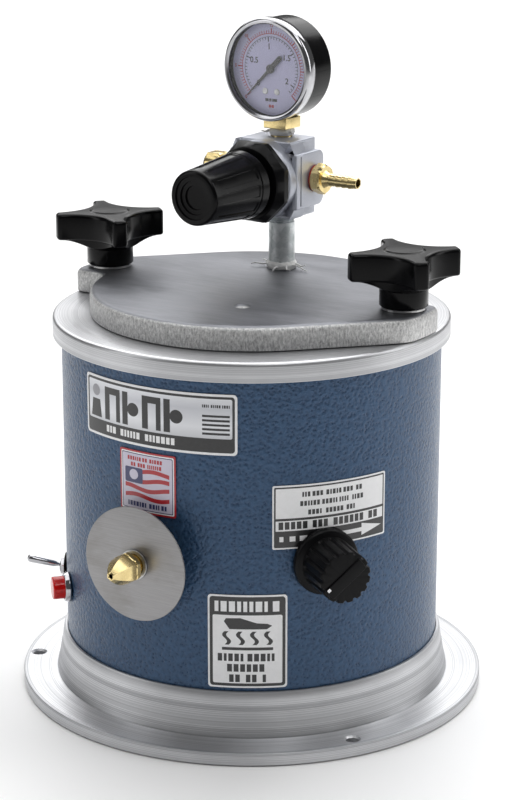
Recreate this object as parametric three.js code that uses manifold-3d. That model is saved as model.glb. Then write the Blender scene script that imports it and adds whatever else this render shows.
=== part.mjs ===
// Heated wax injection pot: a clamped aluminium pot in a painted sheet steel shell, on a turned base flange,
// with an air regulator, gauge and relief valve on its lid. Millimetres, +Z up. The origin is the centre of
// the base's underside and the injection nozzle looks along -Y. Azimuths are degrees from -Y towards +X.
import * as THREE from "three";
import { mergeVertices } from "three/addons/utils/BufferGeometryUtils.js";
import Module from "manifold-3d";

const wasm = await Module();
wasm.setup();

// ---- driving dimensions ----
const gap = 0.3; // clearance between pieces that fit together

const shellRadius = 97.06;
const shellSheet = 1.2;
const shellHeight = 180.65;

const flangeReach = 23.6; // base flange, outside the shell
const flangeThickness = 6.45;
const hubHeight = 29.25; // from the floor
const hubFootWall = 6;
const hubTopWall = 1.95;
const boltInset = 6.35; // bolt circle, inside the flange's edge
const boltHoleRadius = 3.2;
const boltSinkRadius = 4.2;
const boltAzimuths = [-62.5, 57.5, 177.5];

const coverRadius = 80;
const coverSheet = 1.2;
const coverLip = 10; // of the flange, over the cover's edge
const coverScrewRadius = 1.5;
const coverScrewHead = 2.7;
const coverScrewLength = 5;
const coverScrewAzimuths = [0, 120, 240];

const potRadius = 79.5;
const potWall = 4;
const potDepth = 131.5;
const potFloor = 6;
const rimLip = 4.4; // pot rim, outside the shell
const rimThickness = 9.84;
const rimRounding = 2.2;
const gasketWidth = 2.6;
const gasketHeight = 1.9;

const tieRodRadius = 3;
const tieRodHead = 5;
const tieRodSeat = 6.3; // depth of the thread in the rim
const tieRodAzimuths = [29, 148, 212];

const lidThickness = 12.2;
const lidOverlap = 2.8; // lid's circle, outside the pot's wall
const lidRounding = 3.6;
const earInset = 0.2; // ear ends, inside the rim's edge
const earHalfWidth = 15.5;
const earCorner = 5.2;
const earFillet = 5;
const ventAzimuth = 25.8;
const ventCircle = 41.7;
const ventRadius = 2.4;
const ventSink = 4.4;
const ventPlugLength = 8;

const studRadius = 4.75;
const studSeat = 9; // length in the rim
const studReach = 21; // above the lid
const washerThickness = 1.25;
const washerRadius = 11;
const knobStemRadius = 12.1;
const knobStemLength = 13.9;
const knobHeadHeight = 13.9;
const knobReach = 28.3;
const knobTipHalfWidth = 3.6;
const knobWaist = 13.2;
const knobTurn = 46.5; // azimuth of the first arm
const knobCapRadius = 10;
const knobCapHeight = 0.8;

const heaterThickness = 2;
const heaterHeight = 13;
const heaterSplit = 8; // degrees
const insulationThickness = 4;
const insulationHeight = 62;
const insulationDrop = 10; // below the rim

const nozzleRise = 27.5; // axis above the pot's floor
const nozzleBodyRadius = 8;
const nozzleNeckRadius = 5.5;
const nozzleBoreRadius = 4.1;
const nozzleInletRadius = 2;
const shieldRadius = 29.2;
const shieldSheet = 1;
const shieldStandOff = 9.7; // from the shell
const shieldRingRadius = 7.6;
const shieldRingSheet = 0.9;
const nozzleTravel = 3;
const nozzleHexAcross = 14;
const nozzleHexLength = 3.4;
const nozzleNoseLength = 12.3;
const nozzleOrifice = 1.1;
const nozzleStemLength = 12;

const dialAzimuth = 53;
const dialRise = 29.5; // axis above the pot's floor
const dialSkirtRadius = 16.7;
const dialSkirtHeight = 4.6;
const dialGripRadius = 13.4;
const dialGripHeight = 22.6;
const dialFlutes = 16;
const dialStandOff = 1.2;
const dialShaftRadius = 3;
const thermostatSide = 30;
const thermostatDepth = 12;

const panelHeight = 56; // of the switch and the lamp
const switchAzimuth = -62;
const switchBodyWidth = 12;
const switchBodyHeight = 13;
const switchBodyDepth = 13;
const switchBushRadius = 3;
const switchPlateRadius = 7.5;
const switchPlateThickness = 1.7;
const switchNutAcross = 8;
const switchNutThickness = 2;
const leverLength = 21.5; // from its pivot
const leverRadius = 2;
const leverNeck = 0.9;
const leverBall = 1.5;
const leverTilt = 12; // degrees up from level
const lampAzimuth = -44;
const lampBodyRadius = 5.2;
const lampBodyDepth = 12;
const lampBezelRadius = 8;
const lampBezelDepth = 3;
const lampLensRadius = 5.9;
const lampLensDepth = 9;

const cordHeight = 45;
const cordAzimuth = 180;
const cordHoleRadius = 3.6;
const grommetRadius = 10;
const grommetNeck = 8;
const grommetLip = 2.5;

const stickerSheet = 0.4;
// Each sticker's two azimuths, its upper edge below the rim, its height and its colour.
const stickers = [
  ["nameplate_sticker", -23.9, 27.9, 6.9, 30.3, 0xe8e8e8],
  ["badge_sticker", -9.1, 9.9, 39.8, 31.4, 0xd8d4e2],
  ["temperature_sticker", 37.7, 73.7, 52.5, 32.3, 0xf0f0f0],
];
const cautionAzimuths = [19.2, 42.1];
const cautionRise = 1.85; // above the hub
const cautionHeight = 48.5;
const cautionColor = 0xf2f2f2;

const nippleX = -8.4;
const nippleY = 43.2;
const nippleRadius = 6.85;
const nippleBore = 4.6;
const nippleReach = 30; // between lid and regulator
const threadDepth = 7.5; // of the nipple in the regulator

const headTurn = -3; // azimuth that the regulator and the gauge face
const blockHeight = 40;
const blockAcross = 41.6; // between the side ports' faces
const blockBack = 8;
const blockFront = 17.4;
const blockHalfWidth = 15.5; // of its core, between the side plates
const flangePlate = 11;
const flangeHalfTop = 16.8;
const flangeHalfSide = 14.3;
const flangeHalfWidth = 19.4;
const sidePlate = 3.5;
const ringShoulderWall = 6; // outside the bonnet
const ringShoulderLength = 6.3;
const bonnetRadius = 14.6;
const bonnetWall = 3.2;
const bonnetFront = 38;
const bonnetFlangeLip = 2.4; // outside the bonnet
const bonnetFlangeThickness = 2;
const bonnetNutWall = 7.4; // outside the bonnet, to the nut's corners
const bonnetNutLength = 8;
const diaphragmThickness = 2.2;
const regulatorKnobBack = 36;
const regulatorKnobLength = 42;
const regulatorKnobOver = 2.9; // outside the bonnet, at the knob's back
const regulatorKnobFrontRadius = 13.9;
const regulatorKnobSkirt = 20; // depth of the hollow over the bonnet
const regulatorKnobPull = 3;
const adjustingScrewRadius = 3;
const springSeatThickness = 2.5;
const springSeatTravel = 5;
const springWire = 0.8;

const barbThreadRadius = 4.8;
const portDepth = 7;
const barbHexAcross = 14;
const barbHexLength = 5.5;
const barbShankRadius = 3;
const barbRidge = 0.45;
const barbRidges = 4;
const barbShankLength = 19.5;
const barbBore = 2.2;

const reliefBodyRadius = 5.5;
const reliefBodyLength = 25.2;
const reliefHexAcross = 14;
const reliefHexLength = 9;
const reliefStemRadius = 2;
const reliefStemReach = 3.4;
const reliefTravel = 2.5;
const pullRingRadius = 5;
const pullRingWire = 0.6;

const gaugeRadius = 26.5;
const gaugeWall = 1.2;
const gaugeBack = 7; // behind the nipple's axis
const gaugeFront = 15.4;
const bezelDepth = 6.5;
const bezelLip = 1;
const bezelBorder = 3.1;
const lensThickness = 1.4;
const dialSheet = 0.8;
const dialDepth = 2.2; // of the dial's face, behind the case's edge
const pointerLength = 20.4;
const pointerTail = 9.4;
const socketSquare = 14;
const socketSquareHeight = 6;
const socketNeck = 3.65; // thread left showing under the square
const socketThreadRadius = 5.6;
const socketStemRadius = 4.9;
const pointerZero = 225; // degrees round the dial from the right, anticlockwise

// ---- heights and radii that follow from them ----
const shellBottom = flangeThickness + gap;
const rimBottom = shellBottom + shellHeight + gap;
const rimTop = rimBottom + rimThickness;
const lidBottom = rimTop + gap;
const lidTop = lidBottom + lidThickness;
const rimRadius = shellRadius + rimLip;
const shellInside = shellRadius - shellSheet;
const flangeRadius = shellRadius + flangeReach;
const boltCircle = flangeRadius - boltInset;
const fixingCircle = (potRadius + shellInside) / 2; // studs and tie rods, between pot and shell
const lidRadius = potRadius + lidOverlap;
const potInside = potRadius - potWall;
const potFloorTop = rimTop - potDepth;
const potBottom = potFloorTop - potFloor;
const nozzleHeight = potFloorTop + nozzleRise;
const dialHeight = potFloorTop + dialRise;
const gasketCentre = potRadius - potWall / 2;
const flangeOpening = coverRadius - coverLip;
const coverScrewCircle = (flangeOpening + coverRadius) / 2;
const regulatorBottom = lidTop + nippleReach;
const regulatorAxis = regulatorBottom + blockHeight / 2;
const regulatorTop = regulatorBottom + blockHeight;
const socketSquareBottom = regulatorTop + socketNeck;
const socketSquareTop = socketSquareBottom + socketSquareHeight;
const ringShoulderRadius = bonnetRadius + ringShoulderWall;
const bonnetFlangeRadius = bonnetRadius + bonnetFlangeLip;
const bonnetNutReach = bonnetRadius + bonnetNutWall;
const regulatorKnobBackRadius = bonnetRadius + regulatorKnobOver;
const caseRadius = gaugeRadius - gaugeWall + gap / 2;
const gaugeAxis = socketSquareTop + 2 * gap + caseRadius;

// ---- materials ----
function finish(color, roughness, metalness) {
  return new THREE.MeshStandardMaterial({ color, roughness, metalness });
}
const aluminium = finish(0xb9bbbe, 0.38, 1);
const castAluminium = finish(0x9b9c9e, 0.55, 1);
const zincCasting = finish(0xb4bac4, 0.42, 1);
const steel = finish(0x8f9499, 0.4, 1);
const stainless = finish(0xa9a6a4, 0.35, 1);
const chrome = finish(0xdadde0, 0.12, 1);
const galvanised = finish(0x8d979a, 0.5, 1);
const brass = finish(0xc8a24a, 0.28, 1);
const bluePaint = finish(0x38577c, 0.38, 0.2);
const blackGloss = finish(0x101012, 0.22, 0);
const blackPlastic = finish(0x1a1a1c, 0.42, 0);
const rubber = finish(0x1f1f1f, 0.8, 0);
const redLens = finish(0xb00a0e, 0.18, 0);
const clearLens = finish(0xe9eef2, 0.05, 0);
const dialWhite = finish(0xe4e1ee, 0.5, 0);
const fibre = finish(0xd8d2c0, 0.9, 0);

// ---- solids ----
function solid(geometry) {
  const bare = geometry.index ? geometry.toNonIndexed() : geometry.clone();
  bare.deleteAttribute("normal");
  bare.deleteAttribute("uv");
  const merged = mergeVertices(bare, 1e-3);
  return new wasm.Manifold(
    new wasm.Mesh({
      numProp: 3,
      vertProperties: merged.attributes.position.array,
      triVerts: new Uint32Array(merged.index.array),
    }),
  );
}

function fromSolid(body) {
  const mesh = body.getMesh();
  const geometry = new THREE.BufferGeometry();
  geometry.setAttribute("position", new THREE.BufferAttribute(mesh.vertProperties, 3));
  geometry.setIndex(new THREE.BufferAttribute(mesh.triVerts, 1));
  return geometry;
}

function cut(body, ...tools) {
  const left = tools.reduce((rest, tool) => rest.subtract(solid(tool)), solid(body));
  return fromSolid(left);
}

function join(...pieces) {
  const whole = pieces.map(solid).reduce((sum, piece) => sum.add(piece));
  return fromSolid(whole);
}

// Sides of a turned piece: fine enough that its facets stay inside the clearances.
function sidesFor(radius) {
  const steps = [[60, 40], [20, 30], [8, 22], [3, 14]];
  const found = steps.find(([least]) => radius > least);
  return found ? found[1] : 10;
}

// Outline of [radius, height] points, turned about +Z. It runs from axis to axis, or closes on itself.
function turned(points, sides = sidesFor(Math.max(...points.map(([radius]) => radius)))) {
  const profile = points.map(([radius, height]) => new THREE.Vector2(radius, height));
  if (points[0][0] > 0) profile.push(profile[0].clone());
  return new THREE.LatheGeometry(profile, sides).rotateX(Math.PI / 2);
}

function disc(radius, low, high) {
  return turned([[0, low], [radius, low], [radius, high], [0, high]]);
}

function ring(inner, outer, low, high) {
  return turned([[inner, low], [outer, low], [outer, high], [inner, high]]);
}

function box(width, depth, height, x = 0, y = 0, z = 0) {
  return new THREE.BoxGeometry(width, depth, height).translate(x, y, z);
}

// Prism with flat sides, measured across its flats.
function prism(sides, across, low, high) {
  const reach = across / 2 / Math.cos(Math.PI / sides);
  const start = Math.PI / sides;
  return new THREE.CylinderGeometry(reach, reach, high - low, sides, 1, false, start)
    .rotateX(Math.PI / 2)
    .translate(0, 0, (low + high) / 2);
}

// Screw with a countersunk head at its low end.
function countersunk(radius, head, low, high) {
  return turned([[0, low], [head, low], [radius, low + head - radius], [radius, high], [0, high]]);
}

function coil(radius, wire, turns, low, high) {
  const points = [];
  const steps = Math.round(turns * 9);
  for (let i = 0; i <= steps; i += 1) {
    const angle = (2 * Math.PI * turns * i) / steps;
    const height = low + wire + ((high - low - 2 * wire) * i) / steps;
    points.push(new THREE.Vector3(radius * Math.cos(angle), radius * Math.sin(angle), height));
  }
  const section = new THREE.Shape().absarc(0, 0, wire, 0, 2 * Math.PI);
  const path = new THREE.CatmullRomCurve3(points);
  const options = { steps, curveSegments: 2, bevelEnabled: false, extrudePath: path };
  return new THREE.ExtrudeGeometry(section, options);
}

function onCircle(radius, azimuth) {
  const angle = THREE.MathUtils.degToRad(azimuth);
  return [radius * Math.sin(angle), -radius * Math.cos(angle)];
}

// Turns a piece's +Z to point straight out at an azimuth, with its +Y up, at a height.
function outwards(azimuth, height) {
  const [x, y] = onCircle(1, azimuth);
  const out = new THREE.Vector3(x, y, 0);
  const up = new THREE.Vector3(0, 0, 1);
  const side = new THREE.Vector3().crossVectors(up, out);
  return new THREE.Matrix4().makeBasis(side, up, out).setPosition(0, 0, height);
}

function facing(azimuth, height, piece) {
  return piece.clone().applyMatrix4(outwards(azimuth, height));
}

// ---- scene graph ----
const pot = new THREE.Group();
const head = new THREE.Group();
head.position.set(nippleX, nippleY, 0);
head.rotation.z = THREE.MathUtils.degToRad(headTurn);
pot.add(head);

function outwardGroup(parent, azimuth, height) {
  const group = new THREE.Group();
  group.applyMatrix4(outwards(azimuth, height));
  parent.add(group);
  return group;
}

function add(parent, name, geometry, material, x = 0, y = 0, z = 0) {
  const mesh = new THREE.Mesh(geometry, material);
  mesh.name = name;
  mesh.position.set(x, y, z);
  parent.add(mesh);
  return mesh;
}

// ---- base ----
function baseFlange() {
  const bore = shellRadius + gap;
  const foot = shellRadius + hubFootWall;
  const top = shellRadius + hubTopWall;
  const flare = [];
  for (let i = 0; i <= 3; i += 1) {
    const t = i / 3;
    const radius = top + (foot - top) * (1 - t) ** 1.2;
    flare.push([radius, flangeThickness + (hubHeight - flangeThickness) * t]);
  }
  const recess = coverSheet + gap;
  const body = turned(
    [
      [flangeOpening, recess],
      [coverRadius + gap, recess],
      [coverRadius + gap, 0],
      [flangeRadius, 0],
      [flangeRadius, flangeThickness],
      ...flare,
      [bore, hubHeight],
      [bore, flangeThickness],
      [flangeOpening, flangeThickness],
    ],
  );
  const tools = boltAzimuths.flatMap((azimuth) => {
    const [x, y] = onCircle(boltCircle, azimuth);
    const hole = disc(boltHoleRadius, -1, flangeThickness + 1);
    const sinkDepth = boltSinkRadius - boltHoleRadius;
    const sink = turned(
      [[0, flangeThickness - sinkDepth], [boltHoleRadius, flangeThickness - sinkDepth],
        [boltSinkRadius + 1, flangeThickness + 1], [0, flangeThickness + 1]],
    );
    return [hole.translate(x, y, 0), sink.translate(x, y, 0)];
  });
  const screwHoles = coverScrewAzimuths.map((azimuth) => {
    const [x, y] = onCircle(coverScrewCircle, azimuth);
    return disc(coverScrewRadius + gap, 0, flangeThickness + 1).translate(x, y, 0);
  });
  const rodHoles = tieRodAzimuths.map((azimuth) => {
    const [x, y] = onCircle(fixingCircle, azimuth);
    return countersunk(tieRodRadius + gap, tieRodHead + gap, 0, flangeThickness + 1).translate(x, y, 0);
  });
  return cut(body, ...tools, ...screwHoles, ...rodHoles);
}

add(pot, "base_flange", baseFlange(), aluminium);

const coverHoles = coverScrewAzimuths.map((azimuth) => {
  const [x, y] = onCircle(coverScrewCircle, azimuth);
  return countersunk(coverScrewRadius + gap, coverScrewHead + gap, 0, coverScrewLength).translate(x, y, 0);
});
add(pot, "bottom_cover", cut(disc(coverRadius, 0, coverSheet), ...coverHoles), steel);
coverScrewAzimuths.forEach((azimuth, i) => {
  const [x, y] = onCircle(coverScrewCircle, azimuth);
  const screw = countersunk(coverScrewRadius, coverScrewHead, 0, coverScrewLength);
  add(pot, `cover_screw_${i + 1}`, screw, steel, x, y);
});

// ---- shell ----
const boreOut = (radius, azimuth, height) =>
  facing(azimuth, height, disc(radius, shellRadius / 2, shellRadius + 9));
const shellHoles = [
  boreOut(nozzleBodyRadius + 1, 0, nozzleHeight),
  boreOut(dialShaftRadius + 1, dialAzimuth, dialHeight),
  boreOut(switchBushRadius + gap, switchAzimuth, panelHeight),
  boreOut(lampBodyRadius + gap, lampAzimuth, panelHeight),
  boreOut(grommetNeck + gap, cordAzimuth, cordHeight),
];
const shellTube = ring(shellInside, shellRadius, shellBottom, shellBottom + shellHeight);
add(pot, "outer_shell", cut(shellTube, ...shellHoles), bluePaint);

tieRodAzimuths.forEach((azimuth, i) => {
  const [x, y] = onCircle(fixingCircle, azimuth);
  const rod = countersunk(tieRodRadius, tieRodHead, 0, rimBottom + tieRodSeat - gap);
  add(pot, `tie_rod_${i + 1}`, rod, steel, x, y);
});

// ---- wax pot ----
const studAzimuths = [["left", -90], ["right", 90]];
const fixingHole = (radius, azimuth, low, high) => {
  const [x, y] = onCircle(fixingCircle, azimuth);
  return disc(radius, low, high).translate(x, y, 0);
};

function waxPot() {
  const body = turned(
    [
      [0, potBottom],
      [potRadius - 4, potBottom],
      [potRadius, potBottom + 4],
      [potRadius, rimBottom],
      [rimRadius - 1, rimBottom],
      [rimRadius, rimBottom + 1],
      [rimRadius, rimTop - rimRounding],
      [rimRadius - 0.3 * rimRounding, rimTop - 0.3 * rimRounding],
      [rimRadius - rimRounding, rimTop],
      [potInside, rimTop],
      [potInside, potFloorTop + 6],
      [potInside - 6, potFloorTop],
      [0, potFloorTop],
    ],
  );
  const groove = gasketWidth / 2 + gap;
  const tools = [
    ring(gasketCentre - groove, gasketCentre + groove, rimTop - gasketHeight - gap, rimTop + 1),
    facing(0, nozzleHeight, disc(nozzleNeckRadius + gap, potInside - 10, potRadius + 1)),
    ...studAzimuths.map(([, azimuth]) =>
      fixingHole(studRadius + gap, azimuth, rimTop - studSeat, rimTop + 1)),
    ...tieRodAzimuths.map((azimuth) =>
      fixingHole(tieRodRadius + gap, azimuth, rimBottom - 1, rimBottom + tieRodSeat)),
  ];
  return cut(body, ...tools);
}

add(pot, "wax_pot", waxPot(), aluminium);
const gasketInner = gasketCentre - gasketWidth / 2;
const gasketOuter = gasketCentre + gasketWidth / 2;
add(pot, "lid_gasket", ring(gasketInner, gasketOuter, rimTop - gasketHeight, rimTop), rubber);

// Ring sector between two azimuths. three.js gives an arc two steps for each segment.
function sector(inner, outer, from, to, low, high, segments) {
  const start = THREE.MathUtils.degToRad(from - 90);
  const end = THREE.MathUtils.degToRad(to - 90);
  const outline = new THREE.Shape()
    .absarc(0, 0, outer, start, end, false)
    .absarc(0, 0, inner, end, start, true);
  const options = { depth: high - low, curveSegments: segments, bevelEnabled: false };
  return new THREE.ExtrudeGeometry(outline, options).translate(0, 0, low);
}

const heaterBottom = potBottom + 4;
const heaterInner = potRadius + gap;
const heater = sector(
  heaterInner, heaterInner + heaterThickness, 180 + heaterSplit / 2, 540 - heaterSplit / 2,
  heaterBottom, heaterBottom + heaterHeight, 22,
);
add(pot, "band_heater", heater, stainless);
const insulationTop = rimBottom - insulationDrop;
const insulation = ring(
  heaterInner, heaterInner + insulationThickness, insulationTop - insulationHeight, insulationTop,
);
add(pot, "insulation_wrap", insulation, fibre);

// ---- lid ----
function addArc(outline, radius, from, to, steps) {
  for (let i = 0; i <= steps; i += 1) {
    const angle = from + ((to - from) * i) / steps;
    outline.lineTo(radius * Math.cos(angle), radius * Math.sin(angle));
  }
}

function lidOutline() {
  const outer = rimRadius - earInset;
  const flank = lidRadius * Math.SQRT1_2; // the slanted side leaves the circle at 45 degrees
  const slant = 2 * flank;
  const cornerY = (slant - Math.sqrt(2 * outer ** 2 - slant ** 2)) / 2;
  const rootX = Math.sqrt(lidRadius ** 2 - earHalfWidth ** 2);
  const outerX = Math.sqrt(outer ** 2 - earHalfWidth ** 2);
  const cornerAngle = earCorner / outer;
  const slantAngle = Math.asin(cornerY / outer);
  const squareAngle = Math.asin(earHalfWidth / outer);
  const rootAngle = Math.asin((earHalfWidth + earFillet) / lidRadius);
  const outline = new THREE.Shape();
  for (const [side, turn] of [[1, 0], [-1, Math.PI]]) {
    const at = (x, y) => [side * x, side * y];
    if (side > 0) outline.moveTo(...at(flank, -flank));
    outline.lineTo(...at(outer * Math.cos(slantAngle) - earCorner * 0.7, -cornerY - earCorner * 0.7));
    const start = -slantAngle + cornerAngle;
    const startPoint = at(outer * Math.cos(start), outer * Math.sin(start));
    outline.quadraticCurveTo(...at(outer * Math.cos(slantAngle), -cornerY), ...startPoint);
    addArc(outline, outer, turn + start, turn + squareAngle - cornerAngle, 3);
    outline.quadraticCurveTo(...at(outerX, earHalfWidth), ...at(outerX - earCorner, earHalfWidth));
    outline.lineTo(...at(rootX + earFillet, earHalfWidth));
    const fillet = at(lidRadius * Math.cos(rootAngle), lidRadius * Math.sin(rootAngle));
    outline.quadraticCurveTo(...at(rootX, earHalfWidth), ...fillet);
    addArc(outline, lidRadius, turn + rootAngle, turn + 0.75 * Math.PI, 18);
  }
  return outline;
}

const [ventX, ventY] = onCircle(ventCircle, ventAzimuth);
const ventSinkTop = lidTop - (ventSink - ventRadius);

function lidBody() {
  const options = {
    depth: lidThickness,
    curveSegments: 4,
    bevelThickness: lidRounding,
    bevelSize: lidRounding,
    bevelOffset: -lidRounding,
    bevelSegments: 2,
  };
  const raised = new THREE.ExtrudeGeometry(lidOutline(), options);
  const slab = box(3 * rimRadius, 3 * rimRadius, 2 * lidThickness, 0, 0, lidBottom - lidThickness);
  const sink = turned(
    [[0, ventSinkTop], [ventRadius, ventSinkTop], [ventSink + 1, lidTop + 1], [0, lidTop + 1]],
  );
  return cut(
    raised.translate(0, 0, lidTop - lidRounding - lidThickness),
    slab,
    disc(nippleRadius + gap, lidBottom - 1, lidTop + 1).translate(nippleX, nippleY, 0),
    disc(ventRadius + gap, lidBottom - 1, lidTop + 1).translate(ventX, ventY, 0),
    sink.translate(ventX, ventY, 0),
    ...studAzimuths.map(([, azimuth]) =>
      fixingHole(studRadius + 2 * gap, azimuth, lidBottom - 1, lidTop + 1)),
  );
}

add(pot, "lid", lidBody(), castAluminium);
const ventPlugTop = ventSinkTop - gap;
const ventPlug = cut(
  disc(ventRadius, ventPlugTop - ventPlugLength, ventPlugTop),
  prism(6, ventRadius, ventPlugTop - 2, ventPlugTop + 1),
);
add(pot, "vent_plug", ventPlug, steel, ventX, ventY);

// ---- clamp studs, washers and star knobs ----
function starOutline() {
  const outline = new THREE.Shape();
  const tip = knobReach;
  const half = knobTipHalfWidth;
  const soft = 0.5 * half;
  for (let arm = 0; arm < 4; arm += 1) {
    const angle = (arm * Math.PI) / 2;
    const at = (along, across, extra = 0) => [
      along * Math.cos(angle + extra) - across * Math.sin(angle + extra),
      along * Math.sin(angle + extra) + across * Math.cos(angle + extra),
    ];
    if (arm === 0) outline.moveTo(...at(tip - soft, -half));
    outline.quadraticCurveTo(...at(tip, -half), ...at(tip, -half + soft));
    outline.lineTo(...at(tip, half - soft));
    outline.quadraticCurveTo(...at(tip, half), ...at(tip - soft, half));
    const inward = [at(knobWaist + 2, half + 2), at(half + 2, knobWaist + 2)];
    outline.bezierCurveTo(...inward[0], ...inward[1], ...at(half, tip - soft));
  }
  return outline;
}

function starKnob() {
  const bottom = lidTop + washerThickness + gap;
  const headBottom = bottom + knobStemLength;
  const headTop = headBottom + knobHeadHeight;
  const options = {
    depth: knobHeadHeight - 2,
    curveSegments: 4,
    bevelThickness: 1,
    bevelSize: 1,
    bevelOffset: -1,
    bevelSegments: 1,
  };
  const star = new THREE.ExtrudeGeometry(starOutline(), options).translate(0, 0, headBottom + 1);
  const angle = THREE.MathUtils.degToRad(knobTurn - 90);
  const stem = turned(
    [[0, bottom], [knobStemRadius - 0.6, bottom], [knobStemRadius, bottom + 0.6],
      [knobStemRadius, headBottom + 2], [0, headBottom + 2]],
  );
  const cap = disc(knobCapRadius, headTop - 1, headTop + knobCapHeight);
  const bore = disc(studRadius + gap, bottom - 1, lidTop + studReach + 1.5);
  return cut(join(star.rotateZ(angle), stem, cap), bore);
}

for (const [side, azimuth] of studAzimuths) {
  const [x, y] = onCircle(fixingCircle, azimuth);
  const stud = disc(studRadius, rimTop - studSeat + gap, lidTop + studReach);
  add(pot, `stud_${side}`, stud, steel, x, y);
  const washer = ring(studRadius + gap, washerRadius, lidTop + gap, lidTop + washerThickness);
  add(pot, `washer_${side}`, washer, steel, x, y);
  add(pot, `star_knob_${side}`, starKnob(), blackGloss, x, y);
}

// ---- injection nozzle ----
const nozzle = outwardGroup(pot, 0, nozzleHeight);
const shieldBack = shellRadius + shieldStandOff;
const shieldFront = shieldBack + shieldSheet;
const shieldRingFront = shieldFront + gap + shieldRingSheet;
const nozzleFace = shieldRingFront + 0.2;
const springBack = potRadius + 8;
const nozzleBack = potInside - 1;
const nozzleBody = turned([
  [nozzleInletRadius, nozzleBack],
  [nozzleNeckRadius, nozzleBack],
  [nozzleNeckRadius, potRadius + gap],
  [nozzleBodyRadius, potRadius + gap],
  [nozzleBodyRadius, shieldBack - gap],
  [nozzleNeckRadius, shieldBack - gap],
  [nozzleNeckRadius, nozzleFace],
  [nozzleBoreRadius, nozzleFace],
  [nozzleBoreRadius, springBack],
  [nozzleInletRadius, springBack],
]);
add(nozzle, "nozzle_body", nozzleBody, brass);
const shieldDisc = ring(nozzleNeckRadius + gap, shieldRadius, shieldBack, shieldFront);
add(nozzle, "heat_shield_disc", shieldDisc, stainless);
const shieldRing = ring(nozzleNeckRadius + 0.2, shieldRingRadius, shieldFront + gap, shieldRingFront);
add(nozzle, "shield_retaining_ring", shieldRing, steel);

function nozzleTip() {
  const hexBack = nozzleFace + nozzleTravel + gap;
  const hexFront = hexBack + nozzleHexLength;
  const tipFront = hexFront + nozzleNoseLength;
  const reach = nozzleHexAcross / 2 / Math.cos(Math.PI / 6);
  const mouth = nozzleOrifice + 1.2;
  const nose = [];
  for (let i = 0; i <= 8; i += 1) {
    const t = i / 8;
    nose.push([mouth + (reach - mouth) * (1 - t ** 1.7), hexFront + t * nozzleNoseLength]);
  }
  const sixSided = turned([[0, hexBack], [reach, hexBack], ...nose, [0, tipFront]], 6);
  const stem = disc(nozzleBoreRadius - gap, hexBack - nozzleStemLength, hexBack + 1);
  const orifice = disc(nozzleOrifice, hexBack - nozzleStemLength - 1, tipFront + 1);
  return cut(join(sixSided, stem), orifice);
}

add(nozzle, "nozzle_tip", nozzleTip(), brass);
const stemBack = nozzleFace + nozzleTravel + gap - nozzleStemLength;
const nozzleSpring = coil(nozzleBoreRadius - 1.1, 0.45, 5, springBack + gap, stemBack - gap);
add(nozzle, "nozzle_spring", nozzleSpring, steel);

// ---- thermostat and temperature knob ----
const thermostat = outwardGroup(pot, dialAzimuth, dialHeight);
const thermostatBack = potRadius + gap;
const thermostatFront = thermostatBack + thermostatDepth;
const thermostatBore = disc(dialShaftRadius + gap, thermostatBack + 2, thermostatFront + 1);
const thermostatBlock = box(
  thermostatSide, thermostatSide, thermostatDepth, 0, 0, (thermostatBack + thermostatFront) / 2,
);
add(thermostat, "thermostat_body", cut(thermostatBlock, thermostatBore), blackPlastic);
const dialBack = shellRadius + dialStandOff;
const dialFront = dialBack + dialSkirtHeight + dialGripHeight;
const dialShaft = disc(dialShaftRadius, thermostatBack + 2 + gap, dialFront - 6);
add(thermostat, "thermostat_shaft", dialShaft, steel);

function temperatureKnob() {
  const skirtFront = dialBack + dialSkirtHeight;
  const body = turned(
    [
      [0, dialBack],
      [dialSkirtRadius, dialBack],
      [dialSkirtRadius, skirtFront - 2.4],
      [dialSkirtRadius - 2, skirtFront - 0.4],
      [dialGripRadius, skirtFront],
      [dialGripRadius - 0.5, dialFront - 1],
      [dialGripRadius - 1.5, dialFront],
      [0, dialFront],
    ],
  );
  const flutes = Array.from({ length: dialFlutes }, (unused, i) => {
    const [x, y] = onCircle(dialGripRadius + 0.5, (i * 360) / dialFlutes);
    return prism(6, 2, skirtFront + 1, dialFront + 1).translate(x, y, 0);
  });
  const bore = disc(dialShaftRadius + gap, dialBack - 1, dialFront - 6 + gap);
  return cut(body, ...flutes, bore);
}

add(thermostat, "temperature_knob", temperatureKnob(), blackPlastic);

// ---- switch and pilot lamp ----
const panelSwitch = outwardGroup(pot, switchAzimuth, panelHeight);
const switchFront = shellInside - 1.5;
const leverPivot = shellRadius + 1;
const leverSwing = Math.tan(THREE.MathUtils.degToRad(leverTilt));
const switchPlateFront = shellRadius + gap + switchPlateThickness;
const switchNutFront = switchPlateFront + switchNutThickness;
const bushFront = switchNutFront + 0.6;
const switchCase = box(
  switchBodyWidth, switchBodyHeight, switchBodyDepth, 0, 0, switchFront - switchBodyDepth / 2,
);
const switchBush = disc(switchBushRadius, switchFront - 1, bushFront);
const leverWell = turned([
  [0, leverPivot],
  [leverNeck + gap, leverPivot],
  [leverNeck + gap + 6 * leverSwing, leverPivot + 6],
  [0, leverPivot + 6],
]);
const leverSocket = new THREE.SphereGeometry(leverBall + gap, 10, 8).translate(0, 0, leverPivot);
add(panelSwitch, "switch_body", cut(join(switchCase, switchBush), leverWell, leverSocket), blackPlastic);
const switchNut = cut(
  join(
    disc(switchPlateRadius, shellRadius + gap, switchPlateFront),
    prism(6, switchNutAcross, switchPlateFront - 0.5, switchNutFront),
  ),
  disc(switchBushRadius + 0.1, shellRadius - 1, switchNutFront + 1),
);
add(panelSwitch, "switch_nut", switchNut, chrome);

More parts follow.
